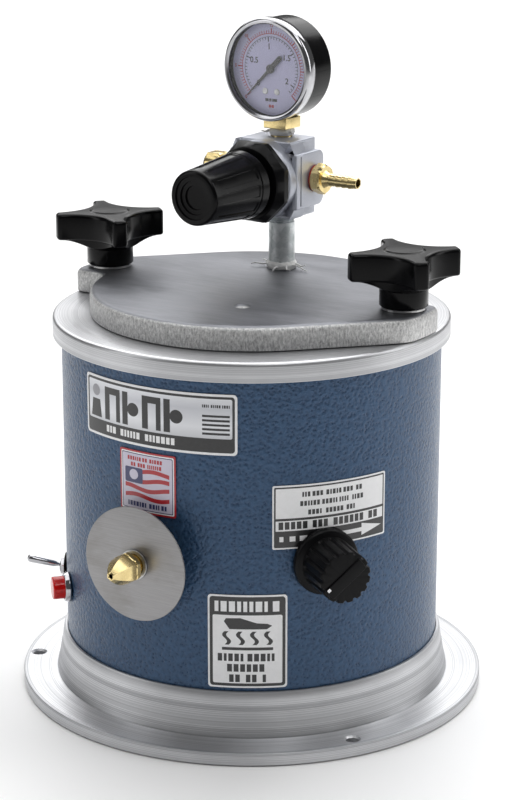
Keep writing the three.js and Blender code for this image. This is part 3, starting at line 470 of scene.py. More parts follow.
def grooved(finish, metal, dark, pitch, rough=(0.30, 0.50)):
    """Lathe marks: fine lines round +Z, and broad soft bands over them."""
    x, y, z = finish.axes()
    out = (x * x + y * y) ** 0.5
    along = out + z * 1.37
    fine = finish.streaks(along * (1 / pitch), 3.0)
    band = finish.streaks(along * 260.0, 1.0)
    turn = finish.node("ShaderNodeMath", {"operation": "ARCTAN2"}, {0: y, 1: x})
    patch = finish.streaks(turn * 1.6 + along * 12.0, 2.0)
    shade = (fine * 0.55 + band * 0.3 + patch * 0.15).ramp(0.36, 0.64)
    stain = finish.noise(24, 4, 0.6).ramp(0.42, 0.75)
    finish.colour(finish.blend(stain * 0.3, finish.blend(shade, dark, metal), dark))
    finish.roughness(shade.ramp(1.0, 0.0) * (rough[1] - rough[0]) + rough[0])
    finish.bump(fine * 0.7 + band * 0.3, 0.00008, 0.6)


def turned_aluminium():
    finish = Finish("turned aluminium", Metallic=1.0)
    grooved(finish, (0.72, 0.725, 0.74), (0.40, 0.405, 0.42), 0.00045)
    return finish.material


def cast_lid():
    """Sand cast edge, and a top that was ground by hand. The top's dark colour is a painted dark reflection; its
    smudges and scratches are real marks.
    """
    finish = Finish("cast aluminium lid", Metallic=1.0)
    x, y, z = finish.axes()
    top = z.ramp(lid_top * MM - 0.0013, lid_top * MM - 0.0006)
    smudge = finish.noise(20, 5, 0.62, finish.stretched((1.0, 2.4, 1.0))).ramp(0.34, 0.70)
    speck = finish.noise(900, 2, 0.7).ramp(0.35, 0.75)
    scratch = finish.noise(70, 4, 0.7, finish.stretched((1.0, 8.0, 1.0))).ramp(0.4, 0.75)
    # painted dark reflection: the top's metal colour is kept far darker than aluminium, with real smudge and scratch
    # marks over it
    ground = finish.blend(smudge, (0.14, 0.145, 0.16), (0.23, 0.235, 0.255))
    ground = finish.blend(scratch * 0.25, ground, (0.34, 0.345, 0.36))
    grit = finish.noise(1100, 3, 0.75, finish.stretched((1.0, 1.0, 0.45))).ramp(0.32, 0.70)
    edge = finish.blend(grit, (0.34, 0.34, 0.345), (0.90, 0.90, 0.89))
    finish.colour(finish.blend(top, edge, ground))
    finish.roughness(top * (0.44 + smudge * 0.12) + (1 - top) * (0.46 + grit * 0.14))
    height = top * (speck * 0.12 + scratch * 0.10) + (1 - top) * grit * 1.4
    finish.bump(height, 0.00022, 0.7)
    return finish.material


def hammered_blue():
    """Hammertone paint: shallow dimples with a paler net between them."""
    finish = Finish("blue hammertone paint", Metallic=0.3, Coat_Weight=0.14, Coat_Roughness=0.16)
    wander = finish.node("ShaderNodeTexNoise", None, {"Scale": 500.0, "Vector": finish.place()}, "Color")
    pull = {0: wander, 1: (0.0012, 0.0012, 0.0012), 2: finish.place()}
    bent = finish.node("ShaderNodeVectorMath", {"operation": "MULTIPLY_ADD"}, pull)
    dimple = finish.cells(560, "SMOOTH_F1", vector=bent).ramp(0.12, 0.62)
    fleck = finish.noise(1100, 3, 0.6).ramp(0.38, 0.66)
    drift = finish.noise(14, 2, 0.5).ramp(0.3, 0.7)
    base = finish.blend(drift, (0.010, 0.036, 0.090), (0.014, 0.044, 0.104))
    base = finish.blend(dimple * 0.85, base, (0.034, 0.088, 0.180))
    finish.colour(finish.blend(fleck * 0.3, base, (0.058, 0.122, 0.220)))
    finish.roughness(0.26 + dimple * 0.16)
    finish.bump(dimple * 0.8 + fleck * 0.2, 0.0005, 0.75)
    return finish.material


def moulded(name, colour, pale, rough, coat=0.0, grain=0.00002):
    """Moulded plastic or rubber, with faint flow marks and dust."""
    finish = Finish(name, Coat_Weight=coat, Coat_Roughness=0.08, Specular_IOR_Level=0.15)
    cloud = finish.noise(60, 3, 0.6).ramp(0.35, 0.75)
    fine = finish.noise(1800, 2, 0.6)
    finish.colour(finish.blend(cloud * 0.6, colour, pale))
    finish.roughness(cloud * 0.10 + fine * 0.06 + (rough - 0.06))
    finish.bump(fine, grain, 0.5)
    return finish.material


def machined(name, bright, dark, rough, pitch=0.0004, tarnish=0.3):
    """Bar stock turned or milled: fine marks, handling stains and brighter wear."""
    finish = Finish(name, Metallic=1.0)
    marks = finish.noise(1 / pitch, 2, 0.6, finish.stretched((1.0, 1.0, 1.0)))
    stain = finish.noise(160, 4, 0.6).ramp(0.4, 0.72)
    finish.colour(finish.blend(stain * tarnish + marks * 0.12, bright, dark))
    finish.roughness(marks * 0.10 + stain * 0.10 + (rough - 0.08))
    finish.bump(marks, 0.000015, 0.5)
    return finish.material


def galvanised():
    """Hot dipped zinc: pale crystals with grey green between."""
    finish = Finish("galvanised pipe", Metallic=0.85)
    spangle = finish.cells(300, output="Color")
    shade = finish.axes(spangle)[0]
    stain = finish.noise(220, 4, 0.65).ramp(0.35, 0.7)
    zinc = finish.blend(shade, (0.66, 0.70, 0.71), (0.92, 0.94, 0.95))
    finish.colour(finish.blend(stain * 0.5, zinc, (0.42, 0.47, 0.46)))
    finish.roughness(stain * 0.22 + shade * 0.12 + 0.34)
    finish.bump(stain * 0.6 + shade * 0.4, 0.00012, 0.6)
    return finish.material


def painted_casting():
    """Die casting under pale silver paint, with a light orange peel."""
    finish = Finish("silver painted casting", Metallic=0.55)
    peel = finish.noise(700, 2, 0.5)
    cloud = finish.noise(70, 3, 0.5).ramp(0.3, 0.7)
    flake = finish.noise(4000, 1, 0.5).ramp(0.45, 0.65)
    body = finish.blend(cloud, (0.42, 0.44, 0.50), (0.52, 0.54, 0.60))
    finish.colour(finish.blend(flake * 0.3, body, (0.74, 0.75, 0.80)))
    finish.roughness(0.33 + cloud * 0.08)
    finish.bump(peel, 0.00008, 0.45)
    return finish.material


def brushed_stainless():
    """Sheet brushed along the level, with heat stain and finger marks."""
    finish = Finish("brushed stainless", Metallic=1.0)
    grain = finish.noise(1.0, 3, 0.65, finish.stretched((60.0, 60.0, 4200.0))).ramp(0.25, 0.75)
    smudge = finish.noise(30, 4, 0.6, finish.stretched((1.0, 1.0, 1.8))).ramp(0.48, 0.72)
    steel = finish.blend(grain, (0.27, 0.265, 0.265), (0.37, 0.365, 0.37))
    finish.colour(finish.blend(smudge * 0.55, steel, (0.20, 0.19, 0.165)))
    finish.roughness(grain * 0.12 + smudge * 0.08 + 0.34)
    finish.bump(grain, 0.00003, 0.5)
    return finish.material


def sealing_tape():
    finish = Finish("white thread tape", Subsurface_Weight=0.2, Subsurface_Radius=(0.002, 0.002, 0.002))
    crease = finish.noise(900, 4, 0.7, finish.stretched((1.0, 1.0, 3.0)))
    finish.colour(finish.blend(crease, (0.74, 0.74, 0.73), (0.93, 0.93, 0.92)))
    finish.roughness(crease * 0.2 + 0.5)
    finish.bump(crease, 0.0003, 0.8)
    return finish.material


def printed(name, colour, pale):
    """Ink or vinyl with a gloss film and faint dust."""
    finish = Finish(name, Coat_Weight=0.5, Coat_Roughness=0.1)
    dust = finish.noise(500, 3, 0.6).ramp(0.4, 0.8)
    finish.colour(finish.blend(dust * 0.5, colour, pale))
    finish.roughness(dust * 0.12 + 0.32)
    finish.bump(finish.noise(1200, 2, 0.5), 0.00001, 0.4)
    return finish.material


def silver_print():
    """Metallic film printed with a vertical fade."""
    finish = Finish("silver printed film", Metallic=0.55, Coat_Weight=0.6, Coat_Roughness=0.1)
    low, high = span("nameplate_sticker")
    x, y, z = finish.axes()
    fade = z.ramp(low * MM, high * MM)
    fine = finish.noise(900, 2, 0.5)
    stops = [(0.0, (0.28, 0.29, 0.31)), (0.45, (0.74, 0.75, 0.78)), (0.75, (0.55, 0.56, 0.60)),
             (1.0, (0.82, 0.83, 0.86))]
    finish.colour(finish.node("ShaderNodeValToRGB", {"stops": stops}, {"Fac": fade}))
    finish.roughness(fine * 0.06 + 0.30)
    return finish.material


def lamp_glass():
    """Red moulded lens, its red mottled at random between darker and brighter."""
    finish = Finish("red lens", Coat_Weight=0.3, Coat_Roughness=0.05, Specular_IOR_Level=0.3)
    rays = finish.noise(700, 2, 0.6).ramp(0.3, 0.8)
    finish.colour(finish.blend(rays, (0.50, 0.0005, 0.0008), (0.78, 0.003, 0.003)))
    finish.roughness(rays * 0.08 + 0.12)
    finish.bump(rays, 0.00006, 0.4)
    return finish.material


def gauge_glass():
    finish = Finish("gauge window", Roughness=0.04, IOR=1.45)
    haze = finish.noise(60, 2, 0.5).ramp(0.3, 0.8)
    finish.colour(finish.blend(haze, (0.95, 0.96, 0.97), (1.0, 1.0, 1.0)))
    finish.feed(finish.shader.inputs["Alpha"], haze * 0.03 + 0.07)
    return finish.material


def mineral_wrap():
    finish = Finish("mineral fibre wrap")
    fibre = finish.noise(700, 5, 0.7)
    finish.colour(finish.blend(fibre, (0.50, 0.46, 0.38), (0.78, 0.74, 0.65)))
    finish.roughness(fibre * 0.2 + 0.8)
    finish.bump(fibre, 0.0006, 0.8)
    return finish.material


aluminium = turned_aluminium()
cast_aluminium = cast_lid()
blue_paint = hammered_blue()
gloss_black = moulded("gloss black plastic", (0.0015, 0.0015, 0.0018), (0.003, 0.003, 0.0035), 0.20)
knob_top_black = moulded("rubbed black plastic", (0.003, 0.003, 0.0035), (0.009, 0.009, 0.010), 0.40)
satin_black = moulded("satin black plastic", (0.0025, 0.0025, 0.003), (0.006, 0.006, 0.007), 0.32)
rubber = moulded("black rubber", (0.010, 0.010, 0.010), (0.022, 0.022, 0.022), 0.7, grain=0.00008)
steel = machined("plated steel", (0.60, 0.60, 0.60), (0.36, 0.36, 0.35), 0.34)
dark_steel = machined("black oxide steel", (0.10, 0.10, 0.10), (0.04, 0.04, 0.04), 0.4)
chrome = machined("chrome plate", (0.52, 0.52, 0.54), (0.30, 0.30, 0.32), 0.12, tarnish=0.3)
brass = machined("turned brass", (0.92, 0.74, 0.37), (0.52, 0.40, 0.15), 0.24, tarnish=0.45)
zinc_pipe = galvanised()
silver_paint = painted_casting()
stainless = brushed_stainless()
tape_white = sealing_tape()
red_lens = lamp_glass()
window = gauge_glass()
fibre_wrap = mineral_wrap()
white_print = printed("white printed film", (0.95, 0.95, 0.96), (0.86, 0.86, 0.86))
black_print = printed("black print", (0.010, 0.010, 0.011), (0.030, 0.030, 0.030))
red_print = printed("red print", (0.45, 0.012, 0.02), (0.50, 0.04, 0.05))
navy_print = printed("navy print", (0.030, 0.035, 0.13), (0.05, 0.055, 0.17))
lilac_print = printed("lilac print", (0.66, 0.62, 0.74), (0.72, 0.69, 0.78))
grey_print = printed("grey print", (0.30, 0.30, 0.33), (0.36, 0.36, 0.38))
silver_film = silver_print()
dial_print = printed("dial enamel", (0.60, 0.59, 0.84), (0.54, 0.53, 0.76))


# ---------------------------------------------------------------- base, shell and pot

GAP = 0.3  # between pieces that fit together, as in the frame


def base_flange():
    plate = 6.45
    foot, neck, bore = shell_radius + 6, shell_radius + 1.95, shell_radius + GAP
    outline = [(70, 1.5), (80 + GAP, 1.5), (80 + GAP, 0)]
    outline += rounded([(flange_radius - 4, 0), (flange_radius, 0), (flange_radius, plate),
                        (flange_radius - 4, plate)], 0.5, 3, keep=(0, 3))
    flare = [((1 - t) ** 1.2, t) for t in (i / 12 for i in range(13))]
    outline += [(neck + (foot - neck) * a - (0.5 if b == 1 else 0), plate + (hub_top - plate) * b) for a, b in flare]
    outline += [(bore, hub_top), (bore, plate), (70, plate)]
    holes = []
    for degrees in (-62.5, 57.5, 177.5):
        place = on_circle(flange_radius - 6.35, math.radians(degrees))
        holes.append(drill(3.2, -1, 8, place))
        sink = [(0, plate - 1.6), (3.2 - 0.6, plate - 1.6), (4.9, plate + 0.7), (0, plate + 0.7)]
        holes.append(moved(turned(sink, SMALL), place))
    for i in range(1, 4):
        screw, rod = middle(f"cover_screw_{i}"), middle(f"tie_rod_{i}")
        holes.append(drill(1.8, 0, 7.5, Matrix.Translation((screw.x, screw.y, 0)), 24))
        head = [(0, -1), (5.3, -1), (5.3, 0), (3.3, 2), (3.3, 7.5), (0, 7.5)]
        holes.append(moved(turned(head, SMALL), Matrix.Translation((rod.x, rod.y, 0))))
    piece("base_casting", cut(turned(outline, FINE), *holes), aluminium, "pot",
          stands_for=["base_flange"])


def shell():
    inside = shell_radius - 1.2
    tube = [(inside, shell_bottom), (shell_radius, shell_bottom), (shell_radius, shell_top), (inside, shell_top)]
    openings = ((NOZZLE, 9), (THERMOSTAT, 4), (SWITCH, 3.3), (LAMP, 5.5), (CORD, 8.3))
    holes = [drill(radius, shell_radius / 2, shell_radius + 9, place) for place, radius in openings]
    piece("painted_shell", cut(turned(tube, FINE), *holes), blue_paint, "pot",
          stands_for=["outer_shell"])


def wax_pot():
    outside, inside = 79.5, 75.5
    floor = pot_bottom + 6
    rim_bottom = shell_top + GAP
    seat = rim_top - 2.2
    groove = 1.6
    centre = (outside + inside) / 2
    profile = [(0, pot_bottom), (outside, pot_bottom), (outside, rim_bottom), (rim_radius, rim_bottom),
               (rim_radius, rim_top), (centre + groove, rim_top), (centre + groove, seat),
               (centre - groove, seat), (centre - groove, rim_top), (inside, rim_top), (inside, floor), (0, floor)]
    outline = [profile[0]] + rounded(profile[:3], 4, keep=(0, 2))[1:]
    outline += rounded(profile[2:5] + [(rim_radius - 9, rim_top)], 2.2, 6, keep=(0, 1, 3))[1:]
    outline += profile[5:9] + rounded(profile[8:12], 6, 6, keep=(0, 1, 3))[1:]
    holes = [drill(5.05, rim_top - 9, rim_top + 1, Matrix.Translation((side * stud_circle, 0, 0)))
             for side in (-1, 1)]
    for i in range(1, 4):
        rod = middle(f"tie_rod_{i}")
        holes.append(drill(3.3, rim_bottom - 1, rim_bottom + 6.3, Matrix.Translation((rod.x, rod.y, 0)), 24))
    holes.append(drill(5.8, inside - 10, outside + 2, NOZZLE))
    piece("pot_casting", cut(turned(outline, FINE), *holes), aluminium, "pot",
          stands_for=["wax_pot"])


# ---------------------------------------------------------------- lid and its clamps


def lid_outline(steps=72):
    """Circle with two ears, each with one square side and one slanted at 45 degrees."""
    radius, tip, half, corner, fillet = 82.3, rim_radius - 0.2, 15.5, 5.6, 7
    flank = radius * math.sqrt(0.5)
    slant = 2 * flank
    low = (slant - math.sqrt(2 * tip**2 - slant**2)) / 2
    shoulder = math.sqrt(radius**2 - half**2)

    def arc(size, start, end, count):
        angles = [start + (end - start) * i / count for i in range(count + 1)]
        return [Vector((size * math.cos(a), size * math.sin(a))) for a in angles]

    def bend(first, peak, last, count=10):
        steps_along = [i / count for i in range(count + 1)]
        return [first * (1 - t) ** 2 + peak * (2 * t * (1 - t)) + last * t**2 for t in steps_along]

    slant_angle = -math.asin(low / tip)
    square_angle = math.asin(half / tip)
    peak = Vector((tip * math.cos(slant_angle), tip * math.sin(slant_angle)))
    square = Vector((tip * math.cos(square_angle), half))
    root = Vector((shoulder, half))
    ear = bend(peak - corner * Vector((0.7, 0.7)), peak, arc(tip, slant_angle + corner / tip, 0, 1)[0])
    ear += arc(tip, slant_angle + corner / tip, square_angle - corner / tip, 16)[1:]
    ear += bend(ear[-1], square, square - Vector((corner, 0)))[1:]
    leave = math.asin((half + fillet) / radius)
    ear += bend(root + Vector((fillet, 0)), root, radius * Vector((math.cos(leave), math.sin(leave))))
    ear += arc(radius, leave, 0.75 * math.pi, steps)[1:]
    return ear + [-point for point in ear]


def inset(outline, distance):
    """The closed outline, moved inwards."""
    moved_in = []
    count = len(outline)
    for i, point in enumerate(outline):
        along = (outline[(i + 1) % count] - outline[i - 1]).normalized()
        moved_in.append(point + distance * Vector((-along.y, along.x)))
    return moved_in


def edged(outline, low, high, top_edge, bottom_edge, steps=6):
    """Flat outline given a thickness, with a round of its own at the top and at the bottom."""
    rings = []
    for i in range(steps + 1):
        angle = TAU / 4 * i / steps
        rings.append((bottom_edge * (1 - math.sin(angle)), low + bottom_edge * (1 - math.cos(angle))))
    for i in range(steps + 1):
        angle = TAU / 4 * i / steps
        rings.append((top_edge * (1 - math.cos(angle)), high - top_edge * (1 - math.sin(angle))))
    return loft([[Vector((*point, height)) for point in inset(outline, distance)] for distance, height in rings])


def lid():
    outline = [p for i, p in enumerate(lid_outline()) if i == 0 or (p - lid_outline()[i - 1]).length > 1e-3]
    plate = edged(outline, lid_bottom, lid_top, 3.4, 0.8)
    vent = middle("vent_plug")
    vent_place = Matrix.Translation((vent.x, vent.y, 0))
    sink = turned([(0, lid_top - 2), (2.7, lid_top - 2), (4.4, lid_top), (5, lid_top + 0.6), (0, lid_top + 0.6)], SMALL)
    low, high = lid_bottom - 1, lid_top + 1
    holes = [drill(7.15, low, high, Matrix.Translation(nipple_axis)), drill(2.7, low, high, vent_place),
             moved(sink, vent_place)]
    holes += [drill(5.35, low, high, Matrix.Translation((side * stud_circle, 0, 0))) for side in (-1, 1)]
    piece("lid_casting", cut(plate, *holes), cast_aluminium, "lid", stands_for=["lid"],
          crease=40)


def star_outline(grow=0.0, steps=10):
    """Four blunt arms joined by hollow curves."""
    tip, half, waist = 28.3, 3.9, 12.6
    soft = 2.6
    points = []
    for arm in range(4):
        turn = Matrix.Rotation(arm * TAU / 4, 2)
        for start, peak, end in (((tip - soft, -half), (tip, -half), (tip, -half + soft)),
                                 ((tip, half - soft), (tip, half), (tip - soft, half))):
            for i in range(steps // 2 + 1):
                t = 2 * i / steps
                mixed = [(1 - t) ** 2 * a + 2 * t * (1 - t) * b + t**2 * c for a, b, c in zip(start, peak, end)]
                points.append(turn @ Vector(mixed))
        first, last = Vector((tip - soft, half)), Vector((half, tip - soft))
        near, far = Vector((waist + 1, half + 1.2)), Vector((half + 1.2, waist + 1))
        for i in range(1, 3 * steps):
            t = i / (3 * steps)
            curve = (1 - t) ** 3 * first + 3 * t * (1 - t) ** 2 * near + 3 * t**2 * (1 - t) * far + t**3 * last
            points.append(turn @ curve)
    return points


def star_knob(side, knob):
    node = f"star_knob_{knob}"
    bottom, top = span(node)
    stem, cap = 12.1, 10
    cap_rise = 0.8
    head_top = top - cap_rise
    head_bottom = bottom + 13.9
    outline = star_outline()
    reach_out = max(point.length for point in outline)

    def onto(radius, height):
        return [Vector((*(radius * point.normalized()), height)) for point in outline]

    def level(distance, height):
        return [Vector((*point, height)) for point in inset(outline, distance)]

    rings = [[bottom * Z], onto(stem - 0.8, bottom), onto(stem, bottom + 0.8), onto(stem, head_bottom - 5)]
    for i in range(1, 8):
        t = i / 8
        ring = []
        for point in inset(outline, 1.4):
            size = stem + (point.length - stem) * t
            drop = 5 * ((reach_out - size) / (reach_out - stem)) ** 2.2
            ring.append(Vector((*(size * point.normalized()), head_bottom - drop)))
        rings.append(ring)
    for i in range(5):
        angle = TAU / 4 * i / 4
        rings.append(level(1.4 * (1 - math.sin(angle)), head_bottom + 1.4 * (1 - math.cos(angle))))
    for i in range(7):
        angle = TAU / 4 * i / 6
        rings.append(level(2.0 * (1 - math.cos(angle)), head_top - 2.0 * (1 - math.sin(angle))))
    rings += [onto(cap + 0.5, head_top), onto(cap, head_top + 0.15), onto(cap - 0.4, top - 0.2), onto(cap - 1, top),
              [top * Z]]
    turn = Matrix.Rotation(math.radians(46.5 - 90), 4, "Z")
    centre = Matrix.Translation((side * stud_circle, 0, 0))
    bore = drill(5.05, bottom - 1, lid_top + 22.5, Matrix())
    body = cut(loft(rings), bore)
    made = piece(node + "_moulding", body, gloss_black, f"knob_{knob}", centre @ turn,
                 stands_for=[node], crease=50)
    made.data.materials.append(knob_top_black)
    for face in made.data.polygons:
        if face.normal.z > 0.97 and face.center.z > (head_top - 1) * MM:
            face.material_index = 1


# ---------------------------------------------------------------- nozzle and heat shield


def nozzle_tip():
    """Six-sided nose: each flat curves in to the orifice."""
    low, high = reach("nozzle_tip", NOZZLE)
    hex_back = reach("shield_retaining_ring", NOZZLE)[1] + 3.5
    hex_front = hex_back + 3.4
    across, orifice, mouth, stem = 14, 1.1, 4.0, 3.8
    limit = across / 2 / math.cos(math.pi / 6)
    rings = [circle(orifice, low, FINE), circle(stem, low, FINE), circle(stem, hex_back, FINE)]
    for height, trim in ((hex_back, 1.0), (hex_back + 0.5, 0.3), (hex_front - 0.9, 0.3), (hex_front - 0.6, 0.9)):
        rings.append(circle(hexed(across, limit - trim), height, FINE))
    for i in range(19):
        t = i / 18
        flat = mouth + (across - 0.5 - mouth) * (1 - t**1.8)
        rings.append(circle(hexed(flat, limit), hex_front + (high - 0.3 - hex_front) * t, FINE))
    rings += [circle(orifice + 0.3, high, FINE), circle(orifice, high - 0.4, FINE)]
    piece("brass_nozzle", loft(rings, loop=True), brass, "nozzle", NOZZLE, ["nozzle_tip"], crease=18)


def heat_shield():
    low, high = reach("heat_shield_disc", NOZZLE)
    radius = span("heat_shield_disc", X)[1]
    disc = rounded([(5.8, low), (radius, low), (radius, high), (5.8, high)], 0.35, 3, keep=(0, 3))
    piece("shield_plate", turned(disc, FINE), stainless, "pot", NOZZLE, ["heat_shield_disc"])
    low, high = reach("shield_retaining_ring", NOZZLE)
    ring = rounded([(5.7, low), (7.6, low), (7.6, high), (5.7, high)], 0.3, 3)
    piece("shield_clip", turned(ring), steel, "pot", NOZZLE, ["shield_retaining_ring"])


# ---------------------------------------------------------------- temperature knob


def temperature_knob():
    """Fluted grip on a skirt. A bar runs across its face, with a white spot at one end."""
    low, high = reach("temperature_knob", THERMOSTAT)
    skirt, grip = 16.7, 13.4
    skirt_top = low + 4.6
    face = high - 0.9

    def ribbed(radius, depth):
        def size(angle):
            wave = math.cos(angle * 16)
            return radius - depth * max(0.0, wave) ** 0.7
        return size

    rings = [circle(skirt - 0.5, low, FINE), circle(skirt, low + 0.5, FINE), circle(skirt, skirt_top - 2.2, FINE)]
    for i in range(1, 5):
        angle = TAU / 4 * i / 4
        rings.append(circle(skirt - 1.6 * (1 - math.cos(angle)), skirt_top - 2.2 + 1.6 * math.sin(angle), FINE))
    rings += [circle(grip + 0.4, skirt_top - 0.2, FINE), circle(grip, skirt_top, FINE),
              circle(grip, skirt_top + 0.8, FINE), circle(ribbed(grip, 1.2), skirt_top + 1.6, FINE),
              circle(ribbed(grip - 0.4, 1.2), face - 0.9, FINE)]
    for i in range(1, 5):
        angle = TAU / 4 * i / 4
        edge = grip - 0.4 - 0.8 * (1 - math.cos(angle))
        rings.append(circle(ribbed(edge, 1.2), face - 0.8 + 0.8 * math.sin(angle), FINE))
    rings.append([Vector((0, 0, face))])
    body = cut(loft([[Vector((0, 0, low))]] + rings), drill(3.3, low - 1, high - 5.7, Matrix()))
    piece("temperature_grip", body, satin_black, "temperature_dial", THERMOSTAT,
          ["temperature_knob"], crease=38)
    mark = Matrix.Rotation(math.radians(129), 4, "Z")
    bar = [(-3.4, -10.6), (3.0, -11.0), (3.0, 11.6), (-3.4, 11.2)]
    piece("temperature_bar", slab(bar, face - 0.3, high, 0.5, 4), satin_black, "temperature_dial",
          THERMOSTAT @ mark)
    spot = slab([(1.0, 9.2), (2.6, 9.2), (2.6, 10.9), (1.0, 10.9)], high - 0.1, high + 0.06)
    piece("temperature_mark", spot, white_print, "temperature_dial", THERMOSTAT @ mark)


# ---------------------------------------------------------------- switch, lamp and cord entry


def toggle_switch():
    bush_front = reach("switch_body", SWITCH)[1]
    nut_low, nut_high = reach("switch_nut", SWITCH)
    plate_front = nut_low + 1.5
    plate = rounded([(3.1, nut_low), (7.5, nut_low), (7.5, plate_front), (3.1, plate_front)], 0.3, 3, keep=(0, 3))
    piece("switch_plate", turned(plate), gloss_black, "pot", SWITCH)
    corner = 8 / 2 / math.cos(math.pi / 6)
    levels = ((plate_front + 0.1, 0.4), (plate_front + 0.4, 0), (nut_high - 0.3, 0), (nut_high, 0.5))
    nut = [circle(3.1, plate_front + 0.1)] + [circle(hexed(8, corner - trim), height) for height, trim in levels]
    nut.append(circle(3.1, nut_high))
    piece("switch_lock_nut", loft(nut, loop=True), chrome, "pot", SWITCH, ["switch_nut"], crease=25)
    face = shell_radius - 2.7
    pivot = shell_radius + 1
    collar = [(1.4, face + 0.3), (2.9, face + 0.3), (2.9, nut_high)]
    for i in range(3):
        step = nut_high + (bush_front - nut_high - 0.2) * i / 3
        collar += [(2.75, step), (3.0, step + 0.1)]
    collar += [(2.7, bush_front), (2.3, bush_front), (1.4, pivot + 1)]
    piece("switch_bush", turned(collar, SMALL), chrome, "pot", SWITCH)
    case = block(12, 13, 12.4, (0, 0, face - 6.4), 0.6)
    piece("switch_case", case, satin_black, "pot", SWITCH, ["switch_body"])
    length, neck, bat = 21.5, 0.9, 2.2
    outline = [(0, -1.4), (neck, -1.2), (neck, 4.6), (bat - 0.5, 7.0), (bat, length - 3)]
    for i in range(1, 7):
        angle = TAU / 4 * i / 6
        outline.append((bat * math.cos(angle) if i < 6 else 0, length - 2 + 2 * math.sin(angle)))
    tilt = Matrix.Translation((0, 0, pivot)) @ Matrix.Rotation(-math.radians(12), 4, "X")
    piece("switch_bat", turned(outline, SMALL), chrome, "toggle", SWITCH @ tilt, ["toggle_lever"],
          crease=60)


def pilot_lamp():
    low, high = reach("lamp_bezel", LAMP)
    inside, outside = 6.2, 8
    ring = rounded([(inside, low), (outside - 0.3, low), (outside, low + 0.6), (outside - 0.8, high), (inside, high)],
                   0.35, 3)
    piece("lamp_ring", turned(ring, MEDIUM), chrome, "pot", LAMP, ["lamp_bezel"])
    low, high = reach("lamp_lens", LAMP)
    dome = [(0, low)] + rounded([(5.9, low), (5.9, high), (0, high)], 0.9, 5, keep=(0, 2))
    piece("lamp_glass", turned(dome, MEDIUM), red_lens, "pot", LAMP, ["lamp_lens"])


def cord_grommet():
    low, high = reach("cord_grommet", CORD)
    bore, neck, lip = 3.6, 8, 10
    inner, outer = low + 2.5, high - 2.5
    outline = [(bore, low), (lip, low), (lip, inner), (neck, inner), (neck, outer), (lip, outer), (lip - 0.6, high),
               (bore, high)]
    piece("rubber_grommet", turned(rounded(outline, 0.7, 4), MEDIUM), rubber, "pot", CORD, ["cord_grommet"])


# ---------------------------------------------------------------- stickers


class Sticker:
    """Flat print wrapped round the shell. Its own x runs to the right and y up, from its centre."""

    def __init__(self, node):
        self.node = node
        self.low, self.high = span(node)
        self.radius = shell_radius + GAP
        edges = [math.atan2(p.co.x, -p.co.y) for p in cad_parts[node].data.vertices]
        self.azimuth = (min(edges) + max(edges)) / 2
        self.width = (max(edges) - min(edges)) * self.radius
        self.height = self.high - self.low
        self.marks = {}

    def wrap(self, shape):
        bmesh.ops.triangulate(shape, faces=shape.faces)
        step = 2.0
        for i in range(-int(self.width / step), int(self.width / step) + 1):
            geometry = shape.verts[:] + shape.edges[:] + shape.faces[:]
            bmesh.ops.bisect_plane(shape, geom=geometry, dist=1e-5, plane_co=(i * step / 2, 0, 0), plane_no=X)
        for point in shape.verts:
            angle = self.azimuth + point.co.x / self.radius
            out = self.radius + point.co.z
            height = (self.low + self.high) / 2 + point.co.y
            point.co = (out * math.sin(angle), -out * math.cos(angle), height)
        return shape

    def sheet(self, finish, corner=1.2):
        x, y = self.width / 2, self.height / 2
        outline = soft_box(-x, -y, x, y, corner)
        base = self.wrap(slab(outline, 0, 0.28))
        piece(self.node + "_film", base, finish, "pot", stands_for=[self.node])

    def print(self, finish, outline, level=1):
        self.marks.setdefault((finish, level), []).append(slab(outline, 0.26, 0.28 + 0.03 * level))

    def bar(self, finish, x0, y0, x1, y1, level=1):
        self.print(finish, [(x0, y0), (x1, y0), (x1, y1), (x0, y1)], level)

    def signs(self, finish, x0, x1, y, height, draws, level=2):
        """A row of blocks that stands for a line of words."""
        place = x0
        while place < x1 - 0.2 * height:
            word = min(draws.randint(2, 6) * 0.8 * height, x1 - place)
            stop = place + word
            while place < stop - 0.3 * height:
                wide = min(draws.choice((0.35, 0.55, 0.6)) * height, stop - place)
                self.bar(finish, place, y, place + wide, y + height, level)
                place += wide + 0.2 * height
            place = stop + 0.45 * height

    def finish(self):
        for i, ((ink, level), shapes) in enumerate(self.marks.items()):
            name = f"{self.node}_print_{i + 1}"
            piece(name, self.wrap(both(*shapes)), ink, "pot")


def soft_box(x0, y0, x1, y1, corner, steps=5):
    points = []
    centres = ((x1 - corner, y1 - corner), (x0 + corner, y1 - corner), (x0 + corner, y0 + corner),
               (x1 - corner, y0 + corner))
    for quarter, (x, y) in enumerate(centres):
        for i in range(steps + 1):
            angle = TAU / 4 * (quarter + i / steps)
            points.append((x + corner * math.cos(angle), y + corner * math.sin(angle)))
    return points


def round_spot(x, y, radius, steps=40):
    return [(x + radius * math.cos(TAU * i / steps), y + radius * math.sin(TAU * i / steps)) for i in range(steps)]


